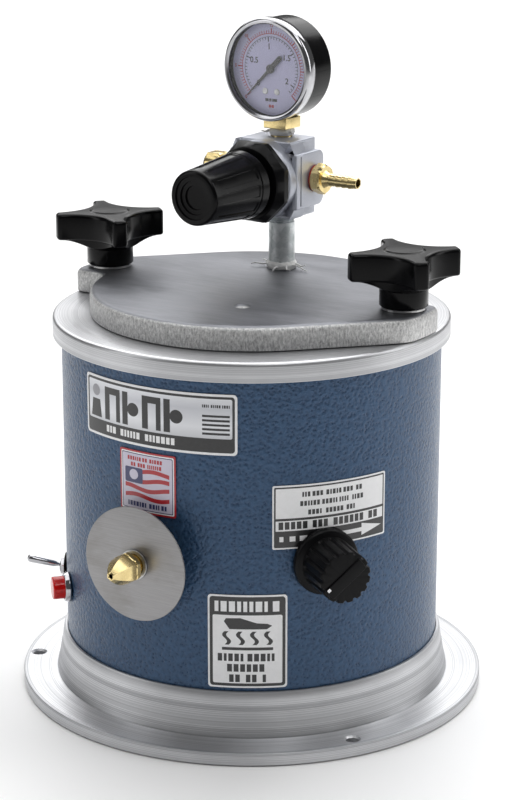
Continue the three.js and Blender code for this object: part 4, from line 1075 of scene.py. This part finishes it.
def nameplate():
    plate = Sticker("nameplate_sticker")
    plate.sheet(white_print, 2.0)
    x, y = plate.width / 2, plate.height / 2
    plate.print(black_print, soft_box(-x + 1.2, -y + 1.2, x - 1.2, y - 1.2, 1.6), 1)
    plate.print(silver_film, soft_box(-x + 2.4, -y + 8.2, x - 2.4, y - 2.4, 0.8), 2)
    draws = random.Random(4)
    plate.signs(white_print, -x + 16, x - 30, -y + 3.2, 3.4, draws, 3)
    left = -x + 15
    wide, tall = 10.5, 16.5
    foot = -y + 9.4
    for i in range(4):
        start = left + i * (wide + 1.6)
        plate.bar(black_print, start, foot, start + 3.4, foot + tall, 3)
        if i % 2 == 0:
            plate.print(black_print, [(start + 3.4, foot + tall - 3.4), (start + wide, foot + tall - 3.4),
                                      (start + wide, foot + tall), (start + 3.4, foot + tall)], 3)
            plate.bar(black_print, start + wide - 2.6, foot, start + wide, foot + tall - 3.4, 3)
        else:
            plate.print(black_print, round_spot(start + 6.6, foot + tall / 2, 3.4), 3)
    pot = [(-x + 4.2, foot), (-x + 12.4, foot), (-x + 11.2, foot + 9), (-x + 5.4, foot + 9)]
    plate.print(black_print, pot, 3)
    plate.print(grey_print, round_spot(-x + 8.3, foot + 13.4, 2.9), 3)
    right = x - 17
    for i in range(5):
        start = foot + 0.6 + i * 2.2
        plate.bar(black_print, right, start, right + 13.4, start + 1.1, 3)
    plate.signs(black_print, right, right + 13.4, foot + tall - 2.4, 1.5, draws, 3)
    plate.finish()


def badge():
    card = Sticker("badge_sticker")
    card.sheet(red_print, 1.0)
    x, y = card.width / 2, card.height / 2
    card.print(white_print, soft_box(-x + 0.9, -y + 0.9, x - 0.9, y - 0.9, 0.8), 1)
    card.print(navy_print, soft_box(-x + 1.5, -y + 1.5, x - 1.5, y - 1.5, 0.6), 2)
    card.print(lilac_print, soft_box(-x + 1.9, -y + 1.9, x - 1.9, y - 1.9, 0.5), 3)
    draws = random.Random(9)
    card.signs(red_print, -x + 5, x - 5, y - 5.2, 2.0, draws, 4)
    card.signs(red_print, -x + 7, x - 7, y - 8.2, 2.0, draws, 4)
    card.signs(navy_print, -x + 5, x - 5, -y + 3.0, 2.4, draws, 4)
    low, high = -y + 7.2, y - 9.4
    tall = (high - low) / 7
    for i in range(0, 7, 2):
        ribbon = []
        for edge, order in ((0, range(13)), (tall, range(12, -1, -1))):
            for j in order:
                place = -x + 3.4 + (2 * x - 6.8) * j / 12
                ribbon.append((place, low + i * tall + edge + 0.9 * math.sin((j / 12 + 0.1 * i) * TAU)))
        card.print(red_print, ribbon, 4)
    card.print(navy_print, soft_box(-x + 3.4, high - 3.4 * tall, -x + 14, high + 0.6, 0.8), 5)
    card.print(lilac_print, round_spot(-x + 8.7, high - 1.4 * tall, 2.6), 6)
    card.finish()


def temperature_label():
    label = Sticker("temperature_sticker")
    label.sheet(white_print, 0.8)
    x, y = label.width / 2, label.height / 2
    label.print(black_print, soft_box(-x + 0.8, -y + 0.8, x - 0.8, y - 0.8, 0.6), 1)
    label.print(white_print, soft_box(-x + 1.6, -y + 1.6, x - 1.6, y - 1.6, 0.4), 2)
    draws = random.Random(2)
    for i, room in enumerate((16, 17, 13)):
        label.signs(black_print, -room, room, y - 6.2 - 4.6 * i, 2.5, draws, 3)
    label.bar(black_print, -x + 1.6, -y + 14.4, x - 1.6, -y + 15.6, 3)
    label.signs(black_print, -x + 3.0, x - 3.4, -y + 10.0, 3.8, draws, 3)
    label.bar(black_print, -x + 1.6, -y + 1.6, x - 1.6, -y + 9.2, 3)
    for i in range(3):
        start = -x + 3.4 + 5.0 * i
        label.bar(white_print, start, -y + 3.8, start + 2.0 + 0.9 * i, -y + 6.4, 4)
    label.bar(white_print, -x + 19.2, -y + 4.2, x - 14.5, -y + 6.2, 4)
    label.print(white_print, [(x - 14.6, -y + 2.2), (x - 2.6, -y + 5.6), (x - 14.6, -y + 8.4)], 4)
    label.finish()


def caution_label():
    label = Sticker("caution_sticker")
    label.sheet(white_print, 1.6)
    x, y = label.width / 2, label.height / 2
    label.print(black_print, soft_box(-x + 0.9, -y + 0.9, x - 0.9, y - 0.9, 1.6), 1)
    label.print(white_print, soft_box(-x + 2.4, -y + 2.4, x - 2.4, y - 10.4, 0.8), 2)
    draws = random.Random(6)
    label.signs(white_print, -x + 3.4, x - 3.2, y - 8.6, 5.4, draws, 2)
    label.bar(black_print, -12.5, -4.4, 12.5, -2.9, 3)
    for i in range(4):
        start = -10.2 + 6.8 * i
        wisp = []
        for edge, order in ((-1.0, range(13)), (1.0, range(12, -1, -1))):
            for j in order:
                wisp.append((start + edge + 1.2 * math.sin(j / 12 * TAU), -1.6 + 7 * j / 12))
        label.print(black_print, wisp, 3)
    palm = [(-11.5, 10.6), (-8.8, 6.6), (9.5, 6.6), (12, 8.4), (9.8, 9.4), (4.5, 9.8), (-3.5, 12.4), (-10.5, 12.2)]
    label.print(black_print, palm, 3)
    for i, room in enumerate((14.6, 10, 9)):
        label.signs(black_print, -room, room, -10.2 - 5.5 * i, 4.0, draws, 3)
    label.finish()


# ---------------------------------------------------------------- pipe and regulator


def pipe_nipple():
    low, high = span("pipe_nipple")
    radius, bore, thread = 6.85, 4.6, 9
    profile = [(bore, low), (radius - 0.6, low), (radius, low + 0.6)]
    pitch = 1.4
    for start, stop in ((low + 1.2, lid_top + 4.2), (regulator_bottom - thread / 2, high - 1)):
        count = int((stop - start) / pitch)
        for i in range(count):
            profile += [(radius, start + i * pitch), (radius - 0.55, start + (i + 0.5) * pitch)]
        profile.append((radius, start + count * pitch))
    profile += [(radius, high - 0.6), (radius - 0.6, high), (bore, high)]
    piece("pipe", turned(profile), zinc_pipe, "lid", Matrix.Translation(nipple_axis), ["pipe_nipple"],
          crease=25)


def tape(name, radius, low, high, place, seed, strands):
    """Thread tape: a few wrinkled turns, with torn ends that stand off."""
    draws = random.Random(seed)
    rings = []
    count = 10
    for i in range(count + 1):
        t = i / count
        bulge = 0.85 * math.sin(math.pi * t) ** 0.5
        offset = Vector((seed * 7.0, 0, t * 2))

        def torn(angle, bulge=bulge, offset=offset):
            wander = Vector((1.6 * math.cos(angle), 1.6 * math.sin(angle), 0)) + offset
            return radius + bulge + 0.30 * noise.noise(wander * 2.3) + 0.2
        ring = circle(torn, low + (high - low) * t)
        if i in (0, count):
            lift = 0.7 if i else -0.15
            ring = [p + Z * lift * (0.5 + noise.noise(Vector((p.x, p.y, seed)) * 0.7)) for p in ring]
        rings.append(ring)
    inner = [circle(radius + 0.05, high), circle(radius + 0.05, low)]
    piece(name, loft(rings + inner, loop=True), tape_white, "lid", place)
    for i, (turn, length, drop) in enumerate(strands):
        start = Matrix.Rotation(math.radians(turn), 3, "Z")
        path, sizes = [], []
        for j in range(15):
            t = j / 14
            out = radius + 0.4 + length * t
            sag = drop * t**1.5 + 0.5 * math.sin(6 * t + i)
            side = 1.6 * math.sin(3.1 * t + i * 1.7) * t
            path.append(start @ Vector((out, side, max(low + 0.4, (low + high) / 2 + sag))))
            sizes.append(0.12 + 0.34 * (1 - t) ** 0.6 + 0.08 * draws.random())
        strip = swept(path, sizes, 8)
        piece(f"{name}_end_{i + 1}", strip, tape_white, "lid", place)


def octagon(half_top, half_height, half_width, half_side):
    corners = [(half_top, half_height), (half_width, half_side)]
    right = corners + [(x, -y) for x, y in reversed(corners)]
    return [Vector(p) for p in right + [(-x, -y) for x, y in reversed(right)]][::-1]


def regulator_body():
    """Square casting with an octagonal front plate, two cheeks with the side ports, and a round neck."""
    half, across, back, front = 20.0, 20.8, 8.0, 17.4
    plate, cheek = 11.0, 3.5
    half_core, half_top, half_side, half_width = 15.5, 16.8, 14.3, 19.4
    neck_front = reach("regulator_bonnet", FRONT)[0] + 5.4 + 6.3
    port, bonnet = 5.1, 14.9
    outline = octagon(half_top, half, half_width, half_side)
    flange = slab(outline, front - plate, front, 0.9, 4)
    core = block(2 * half_core, 2 * half, back + front - 2, (0, 0, (front - back) / 2 - 1), 0.9, 4)
    neck = turned([(0, front - 2)] + rounded([(20.6, front - 2), (20.6, neck_front - 1.6), (19.2, neck_front),
                                               (0, neck_front)], 0.7, 4, keep=(0, 3)), FINE)
    side = []
    soft = 4.5
    outline = [(front, -half_side), (front, half_side)]
    for i in range(9):
        angle = TAU / 4 * i / 8
        outline.append((-back + soft - soft * math.sin(angle), half_side - soft + soft * math.cos(angle)))
    for i in range(9):
        angle = TAU / 4 * i / 8
        outline.append((-back + soft - soft * math.cos(angle), -half_side + soft - soft * math.sin(angle)))
    for direction in (-1, 1):
        cheek_plate = slab(outline, across - cheek, across, 0.8, 4)
        lay = Matrix.Rotation(-TAU / 4, 4, "Y") if direction < 0 else Matrix.Rotation(TAU / 4, 4, "Y")
        mirror = Matrix.Scale(-1, 4, X) if direction > 0 else Matrix()
        placed = moved(cheek_plate, lay @ mirror)
        bmesh.ops.recalc_face_normals(placed, faces=placed.faces)
        side.append(placed)
    web = block(2 * across - 2, 15, 9, (0, 0, 2.0), 0.8)
    tools = [drill(bonnet, front - 8, neck_front + 1, Matrix(), MEDIUM)]
    for turn, axis, radius in ((-TAU / 4, "X", 5.9), (TAU / 4, "X", 7.15), (TAU / 4, "Y", port), (-TAU / 4, "Y", port)):
        face = across if axis == "Y" else half
        tools.append(drill(radius, face - 7.5, face + 1, Matrix.Rotation(turn, 4, axis)))
    for x in (-across, across):
        tools.append(block(cheek - 1, 2 * half_side - 3, 0.9, (x, 0, front - 4.2)))
    body = cut(fused(core, flange, neck, web, *side), *tools)
    piece("regulator_casting", body, silver_paint, "lid", FRONT, ["regulator_body"], crease=28)


def regulator_bonnet():
    low, high = reach("regulator_bonnet", FRONT)
    neck = low + 5.4 + 6.3 + GAP
    profile = [(11.4, low), (14.6, low), (14.6, neck), (17, neck), (17, neck + 2), (14.6, neck + 2), (14.6, high),
               (3.3, high), (3.3, high - 2.5), (11.4, high - 2.5)]
    piece("bonnet_moulding", turned(rounded(profile, 0.5, 3, keep=(0,)), FINE), satin_black, "lid", FRONT,
          ["regulator_bonnet"])
    low, high = reach("bonnet_nut", FRONT)
    sides = 8
    corner = 22.0
    across = 2 * corner * math.cos(math.pi / sides)
    rings = [circle(14.9, neck + 2.3, FINE), circle(17.3, neck + 2.3, FINE), circle(17.3, low, FINE)]
    levels = [(0, 0.6), (0.6, 0), (high - low - 5, 0), (high - low - 4.4, 0.3), (high - low - 0.5, 3.1), (high - low, 3.6)]
    rings += [circle(hexed(across, corner - trim, sides), low + rise, FINE) for rise, trim in levels]
    rings.append(circle(14.9, high, FINE))
    piece("bonnet_ring_nut", loft(rings, loop=True), satin_black, "lid", FRONT, ["bonnet_nut"],
          crease=22)


def regulator_knob():
    """Tapered cap with long sunk panels round it and steps turned into its face."""
    low, high = reach("regulator_knob", FRONT)
    back, tip, skirt, wall = 17.5, 13.9, 20, 1.6
    slope = (back - tip) / (high - low)
    panels, sunk = 12, 0.45

    def side(height):
        return back - slope * (height - low)

    def panelled(height, depth):
        def size(angle):
            across = (angle * panels / TAU + 0.5) % 1 - 0.5
            return side(height) - (depth if abs(across) < 0.33 else 0)
        return size

    steps = 2 * FINE
    first, last = low + 7.5, high - 5.5
    rings = [circle(3.3, low + skirt, steps), circle(back - wall - slope * skirt, low + skirt, steps),
             circle(back - wall, low, steps), circle(back - 0.5, low, steps), circle(back, low + 0.5, steps),
             circle(side(low + 5.2), low + 5.2, steps), circle(side(low + 5.6) - 0.5, low + 5.6, steps),
             circle(side(low + 6.2) - 0.5, low + 6.2, steps), circle(side(low + 6.6), low + 6.6, steps)]
    rings += [circle(panelled(first, 0), first, steps), circle(panelled(first + 0.5, sunk), first + 0.5, steps),
              circle(panelled(last - 0.5, sunk), last - 0.5, steps), circle(panelled(last, 0), last, steps),
              circle(side(high - 1.8), high - 1.8, steps)]
    for i in range(1, 6):
        angle = TAU / 4 * i / 5
        rings.append(circle(tip + 0.15 - 1.6 * (1 - math.cos(angle)), high - 1.6 + 1.6 * math.sin(angle), steps))
    for radius, depth in ((11, 0), (10.8, 0.9), (8.6, 1.0), (8.4, 1.9), (6.2, 2.0), (6.0, 2.9)):
        rings.append(circle(radius, high - depth, steps))
    rings.append([Vector((0, 0, high - 3))])
    screw_top = high - 8 + GAP + 3
    rings = [[Vector((0, 0, screw_top))], circle(3.3, screw_top, steps)] + rings
    piece("regulator_cap", loft(rings), gloss_black, "regulator_knob", FRONT, ["regulator_knob"],
          crease=24)


# ---------------------------------------------------------------- side fittings


def hose_barb():
    low, high = reach("hose_barb", RIGHT)
    seat, hex_front, across = 21.9, 27.4, 14
    corner = across / 2 / math.cos(math.pi / 6)
    rings = [circle(2.2, low, FINE), circle(4.5, low, FINE), circle(4.8, low + 0.4, FINE), circle(4.8, seat, FINE),
             circle(hexed(across, corner - 1.0), seat, FINE), circle(hexed(across, corner), seat + 0.7, FINE),
             circle(hexed(across, corner), hex_front - 0.8, FINE), circle(hexed(across, corner - 1.2), hex_front, FINE),
             circle(4.6, hex_front, FINE), circle(4.1, hex_front + 0.6, FINE), circle(3.2, hex_front + 2.4, FINE)]
    pitch = (high - 1.4 - hex_front - 3.0) / 4
    for i in range(4):
        start = hex_front + 3.0 + i * pitch
        rings += [circle(2.95, start, FINE), circle(3.42, start + 0.35, FINE), circle(3.4, start + 0.7, FINE),
                  circle(2.95, start + pitch - 0.3, FINE)]
    rings += [circle(2.9, high - 0.6, FINE), circle(2.7, high, FINE), circle(2.3, high, FINE),
              circle(2.2, high - 0.2, FINE)]
    piece("brass_barb", loft(rings, loop=True), brass, "lid", RIGHT, ["hose_barb"], crease=20)
    washer = rounded([(5.0, 20.95), (6.9, 20.95), (6.9, 21.8), (5.0, 21.8)], 0.3, 3)
    piece("barb_washer", turned(washer), red_washer, "lid", RIGHT)


def relief_valve():
    low, high = reach("relief_valve_body", LEFT)
    bore = 2.3
    hex_back, across = high - 9, 14
    corner = across / 2 / math.cos(math.pi / 6)
    rings = [circle(bore, low, FINE), circle(4.8, low, FINE), circle(4.8, 21.1, FINE), circle(5.5, 21.1, FINE)]
    for i in range(5):
        start = 22.5 + i * 2.4
        rings += [circle(5.5, start, FINE), circle(5.1, start + 0.4, FINE), circle(5.1, start + 1.1, FINE),
                  circle(5.5, start + 1.5, FINE)]
    rings.append(circle(5.5, hex_back, FINE))
    for height, trim in ((hex_back, 1.1), (hex_back + 0.9, 0), (high - 1.2, 0), (high, 1.6)):
        rings.append(circle(hexed(across, corner - trim), height, FINE))
    rings.append(circle(bore, high, FINE))
    upright = Matrix.Rotation(TAU / 12, 4, "Z")
    piece("relief_body", loft(rings, loop=True), brass, "lid", LEFT @ upright, ["relief_valve_body"], crease=25)
    low, high = reach("relief_stem", LEFT)
    stem = turned([(0, low)] + rounded([(2.0, low), (2.0, high), (0, high)], 0.5, 4, keep=(0, 2)), SMALL)
    eye = high - 1.6
    drop = 0.2
    hole = moved(drill(0.6 + 0.45 + drop, -5, 5, Matrix.Rotation(TAU / 4, 4, "Y"), 32), Matrix.Translation((0, -drop, eye)))
    piece("relief_pin", cut(stem, hole), brass, "relief_stem", LEFT, ["relief_stem"], crease=35)
    wire, radius = 0.6, 5.0
    path = [Vector((radius * math.cos(a), radius * math.sin(a) - radius, eye)) for a in
            (TAU * i / FINE for i in range(FINE))]
    piece("relief_ring", swept(path, wire, 16, loop=True), steel, "pull_ring", LEFT, ["pull_ring"])


# ---------------------------------------------------------------- pressure gauge


def gauge_socket():
    low, high = span("gauge_socket")
    square_low = regulator_top + 3.65
    square_high = square_low + 6
    head = Matrix.Translation(nipple_axis) @ Matrix.Rotation(head_turn, 4, "Z")
    square = block(14, 14, 6, (0, 0, (square_low + square_high) / 2), 0.6, 4)
    thread = turned([(0, low), (5.0, low), (5.6, low + 0.6), (5.6, square_low + 1), (0, square_low + 1)], MEDIUM)
    stem = turned([(0, square_high - 1), (4.9, square_high - 1), (4.9, high - 5), (0, high - 5)], MEDIUM)
    top = block(9, 7, 6, (0, 0, high - 3), 0.4)
    piece("gauge_shank", both(square, thread, stem, top), brass, "lid", head, ["gauge_socket"])


def gauge_case():
    low, high = reach("gauge_case", GAUGE)
    radius = span("gauge_case", X)[1] - span("gauge_case", X)[0]
    radius = radius / 2
    inside = radius - 1.2
    profile = [(0, low)] + rounded([(radius, low), (radius, high), (inside, high), (inside, low + 1.2), (0, low + 1.2)],
                                   1.0, 5, keep=(1, 2, 3, 4))
    profile[1:2] = [(radius - 2.4, low), (radius - 1.2, low + 0.3), (radius - 0.3, low + 1.2), (radius, low + 2.4)]
    hole = moved(drill(5.2, inside - 4, radius + 2, Matrix.Rotation(TAU / 4, 4, "X"), SMALL), Matrix())
    piece("gauge_can", cut(turned(profile, FINE), hole), gloss_black, "lid", GAUGE, ["gauge_case"])
    low, high = reach("gauge_bezel", GAUGE)
    outer = (span("gauge_bezel", X)[1] - span("gauge_bezel", X)[0]) / 2
    border, lip = 3.1, 1.0
    ring = [(radius + GAP, low), (outer - 0.3, low), (outer, low + 0.4), (outer, high - 2.4)]
    for i in range(1, 9):
        angle = TAU / 4 * i / 8
        ring.append((outer - 1.8 * (1 - math.cos(angle)), high - 2.4 + 2.4 * math.sin(angle)))
    ring += [(outer - border + 0.5, high - 0.25), (outer - border, high - 0.6), (outer - border, high - lip),
             (radius + GAP, high - lip)]
    piece("gauge_rim", turned(ring, FINE), chrome, "lid", GAUGE, ["gauge_bezel"], crease=50)
    low, high = reach("gauge_lens", GAUGE)
    piece("gauge_window", turned([(0, low), (radius, low), (radius, high), (0, high)], FINE), window, "lid", GAUGE,
          ["gauge_lens"])


def arc_band(inner, outer, start, stop, low, high, steps=120):
    """Flat ring sector between two angles, anticlockwise from the right."""
    angles = [start + (stop - start) * i / steps for i in range(steps + 1)]
    outline = [(outer * math.cos(a), outer * math.sin(a)) for a in angles]
    outline += [(inner * math.cos(a), inner * math.sin(a)) for a in reversed(angles)]
    return slab(outline, low, high)


def tick(angle, inner, outer, width, low, high):
    bar = slab([(inner, -width / 2), (outer, -width / 2), (outer, width / 2), (inner, width / 2)], low, high)
    return moved(bar, Matrix.Rotation(angle, 4, "Z"))


def number(text, size, x, y, height):
    """A figure for the dial, as a thin raised shape."""
    curve = bpy.data.curves.new("figure", "FONT")
    curve.body = text
    curve.size = size
    curve.extrude = 0.03
    curve.offset = 0.02 * size
    curve.align_x = "CENTER"
    curve.align_y = "CENTER"
    figure = bpy.data.objects.new("figure", curve)
    bpy.context.scene.collection.objects.link(figure)
    bpy.context.view_layer.update()
    mesh = bpy.data.meshes.new_from_object(figure.evaluated_get(bpy.context.evaluated_depsgraph_get()))
    bpy.data.objects.remove(figure)
    bpy.data.curves.remove(curve)
    shape = bmesh.new()
    shape.from_mesh(mesh)
    bpy.data.meshes.remove(mesh)
    bmesh.ops.remove_doubles(shape, verts=shape.verts, dist=1e-4)
    return moved(shape, Matrix.Translation((x, y, height)))


def gauge_dial():
    low, face = reach("gauge_dial", GAUGE)
    radius = (span("gauge_dial", X)[1] - span("gauge_dial", X)[0]) / 2
    plate = turned([(1.1, low), (radius, low), (radius, face), (1.1, face)], FINE)
    piece("dial_plate", plate, dial_print, "lid", GAUGE, ["gauge_dial"])
    sweep = math.radians(270)
    zero = math.radians(225)
    low, high = face - 0.02, face + 0.06
    inner_scale, outer_scale = 16.4, 17.7
    black = [arc_band(inner_scale - 0.2, inner_scale, zero, zero - sweep * 0.996, low, high)]
    red = [arc_band(outer_scale, outer_scale + 0.32, zero, zero - sweep, low, high)]
    full = 30 / 14.22  # both scales end at the same pressure
    for i in range(43):
        length = 2.6 if i % 10 == 0 else 1.4
        width = 0.55 if i % 10 == 0 else 0.34
        angle = zero - sweep * i * 0.05 / full
        black.append(tick(angle, inner_scale - length, inner_scale, width, low, high))
    for i in range(61):
        length = 2.9 if i % 10 == 0 else 1.9
        width = 0.62 if i % 10 == 0 else 0.36
        red.append(tick(zero - sweep * i / 60, outer_scale, outer_scale + length, width, low, high))
    for i, text in enumerate(("0", "0.5", "1", "1.5", "2")):
        angle = zero - sweep * i * 0.5 / full
        black.append(number(text, 4.2, 11.2 * math.cos(angle), 11.2 * math.sin(angle), face + 0.02))
    for value in range(0, 31, 5):
        angle = zero - sweep * value / 30
        red.append(number(str(value), 2.4, 22.0 * math.cos(angle), 22.0 * math.sin(angle), face + 0.02))
    for start, wide in ((-3.6, 2.0), (-1.2, 1.4), (0.6, 3.0)):
        line = tick(0, start, start + wide, 1.5, low, high)
        black.append(moved(line, Matrix.Translation((0, -16.0, 0))))
    for start in (-1.5, 0.2):
        line = tick(0, start, start + 1.4, 1.5, low, high)
        red.append(moved(line, Matrix.Translation((0, -19.2, 0))))
    piece("dial_black_scale", both(*black), black_print, "lid", GAUGE)
    piece("dial_red_scale", both(*red), red_print, "lid", GAUGE)
    screws = []
    for side in (-1, 1):
        head = turned([(0, face)] + rounded([(1.6, face), (1.6, face + 0.5), (0, face + 0.5)], 0.4, 4, keep=(0, 2)), 32)
        slot = block(4.0, 0.4, 0.6, (0, 0, face + 0.6))
        screws.append(moved(cut(head, slot), Matrix.Translation((side * 3.6, -11.6, 0))))
    piece("dial_screws", both(*screws), steel, "lid", GAUGE)


def gauge_pointer():
    face = reach("gauge_dial", GAUGE)[1]
    plane = face + 0.7
    length, tail, wide = 20.4, 9.4, 1.35
    outline = [(length, 0.2), (length, -0.2), (0, -0.95), (-2, -wide)]
    for i in range(13):
        angle = TAU / 2 * i / 12
        outline.append((wide - tail - wide * math.sin(angle), -wide * math.cos(angle)))
    outline += [(-2, wide), (0, 0.95)]
    needle = slab(outline, plane, plane + 0.45, 0.08, 1)
    hub = turned([(0, plane - 0.2)] + rounded([(2.3, plane - 0.2), (2.3, plane + 1), (0, plane + 1)], 0.5, 4, keep=(0, 2)), SMALL)
    shaft = turned([(0, face - 6), (0.8, face - 6), (0.8, plane + 0.4), (0, plane + 0.4)], 24)
    turn = Matrix.Rotation(math.radians(225), 4, "Z")
    piece("gauge_needle", both(needle, hub, shaft), black_print, "pointer", GAUGE @ turn, ["gauge_pointer"])


# ---------------------------------------------------------------- pieces that keep their frame shape


def dress_frame_pieces():
    finishes = {
        steel: ["bottom_cover", "cover_screw_1", "cover_screw_2", "cover_screw_3", "tie_rod_1", "tie_rod_2", "tie_rod_3",
                "stud_left", "stud_right", "washer_left", "washer_right", "nozzle_spring",
                "thermostat_shaft", "adjusting_screw", "spring_seat", "range_spring"],
        dark_steel: ["vent_plug"],
        rubber: ["lid_gasket", "regulator_diaphragm"],
        stainless: ["band_heater"],
        fibre_wrap: ["insulation_wrap"],
        brass: ["nozzle_body", "bourdon_tube"],
        satin_black: ["thermostat_body", "lamp_body"],
    }
    for finish, nodes in finishes.items():
        for node in nodes:
            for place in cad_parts[node].material_slots:
                place.material = finish


# ---------------------------------------------------------------- camera, floor and light


def stage():
    """Camera at the eye that looks 16.5 degrees down from 31.5 degrees to the right, and soft white light."""
    floor = bmesh.new()
    corners = [(-30, -30), (30, -30), (30, 30), (-30, 30)]
    floor.faces.new([floor.verts.new((x, y, -0.0005)) for x, y in corners])
    mesh = bpy.data.meshes.new("floor")
    floor.to_mesh(mesh)
    ground = bpy.data.objects.new("floor", mesh)
    bpy.context.scene.collection.objects.link(ground)
    pale = Finish("pale floor", Roughness=0.55)
    cloud = pale.noise(3.0, 2, 0.5)
    pale.colour(pale.blend(cloud, (0.95, 0.95, 0.95), (0.97, 0.97, 0.97)))
    mesh.materials.append(pale.material)

    camera = bpy.data.objects.new("camera", bpy.data.cameras.new("camera"))
    camera.data.lens = 107.8
    camera.data.clip_start = 0.05
    camera.location = (0.6262, -1.0058, 0.5001)
    heading, down = math.radians(31.5 + 0.30), math.radians(16.48)
    camera.rotation_euler = (TAU / 4 - down, 0, heading)
    bpy.context.scene.collection.objects.link(camera)
    bpy.context.scene.camera = camera

    world = bpy.data.worlds.new("studio")
    world.use_nodes = True
    world.node_tree.nodes["Background"].inputs["Color"].default_value = (1, 1, 1, 1)
    world.node_tree.nodes["Background"].inputs["Strength"].default_value = 0.10
    bpy.context.scene.world = world
    bpy.context.scene.view_settings.view_transform = "Standard"
    target = Vector((0, 0, 0.16))
    right = Vector((math.cos(heading), math.sin(heading), 0))
    away = Vector((-math.sin(heading), math.cos(heading), 0))
    for name, side, depth, height, width, tall, power in (
        ("left strip", -1.2, -0.3, 0.7, 0.4, 1.2, 2.5),
        ("right strip", 1.3, 0.0, 0.8, 0.5, 1.3, 5),
        ("top panel", 0.0, 0.2, 1.9, 2.4, 1.8, 23),
        ("front fill", 0.5, -1.6, 2.3, 1.2, 0.8, 9),
        ("backdrop panel", 0.0, 6.0, 3.6, 9.0, 8.0, 560),
    ):
        light = bpy.data.lights.new(name, "AREA")
        light.shape = "RECTANGLE"
        light.size, light.size_y = width, tall
        light.energy = power
        lamp = bpy.data.objects.new(name, light)
        lamp.location = target + side * right + depth * away + (height - target.z) * Z
        aim = target if depth < 2 else target + depth * away
        lamp.rotation_euler = (aim - lamp.location).to_track_quat("-Z", "Y").to_euler()
        bpy.context.scene.collection.objects.link(lamp)


red_washer = moulded("red fibre washer", (0.40, 0.020, 0.015), (0.48, 0.05, 0.04), 0.5)
stage()
base_flange()
shell()
wax_pot()
lid()
star_knob(-1, "left")
star_knob(1, "right")
nozzle_tip()
heat_shield()
temperature_knob()
toggle_switch()
pilot_lamp()
cord_grommet()
nameplate()
badge()
temperature_label()
caution_label()
pipe_nipple()
regulator_body()
regulator_bonnet()
regulator_knob()
hose_barb()
relief_valve()
gauge_socket()
gauge_case()
gauge_dial()
gauge_pointer()
lid_foot = Matrix.Translation(nipple_axis)
tape("pipe_tape", 6.85, lid_top + 0.3, lid_top + 4.0, lid_foot, 3,
     ((-12, 11, -1.0), (8, 7, 0.4), (-40, 6, -1.2), (196, 9, -1.0), (172, 6, 0.5), (-75, 5, -1.3)))
tape("shank_tape", 5.6, regulator_top + 0.1, regulator_top + 3.3, lid_foot, 5,
     ((-150, 4, 0.5), (-20, 5, -1.0), (200, 5, -0.8)))
dress_frame_pieces()
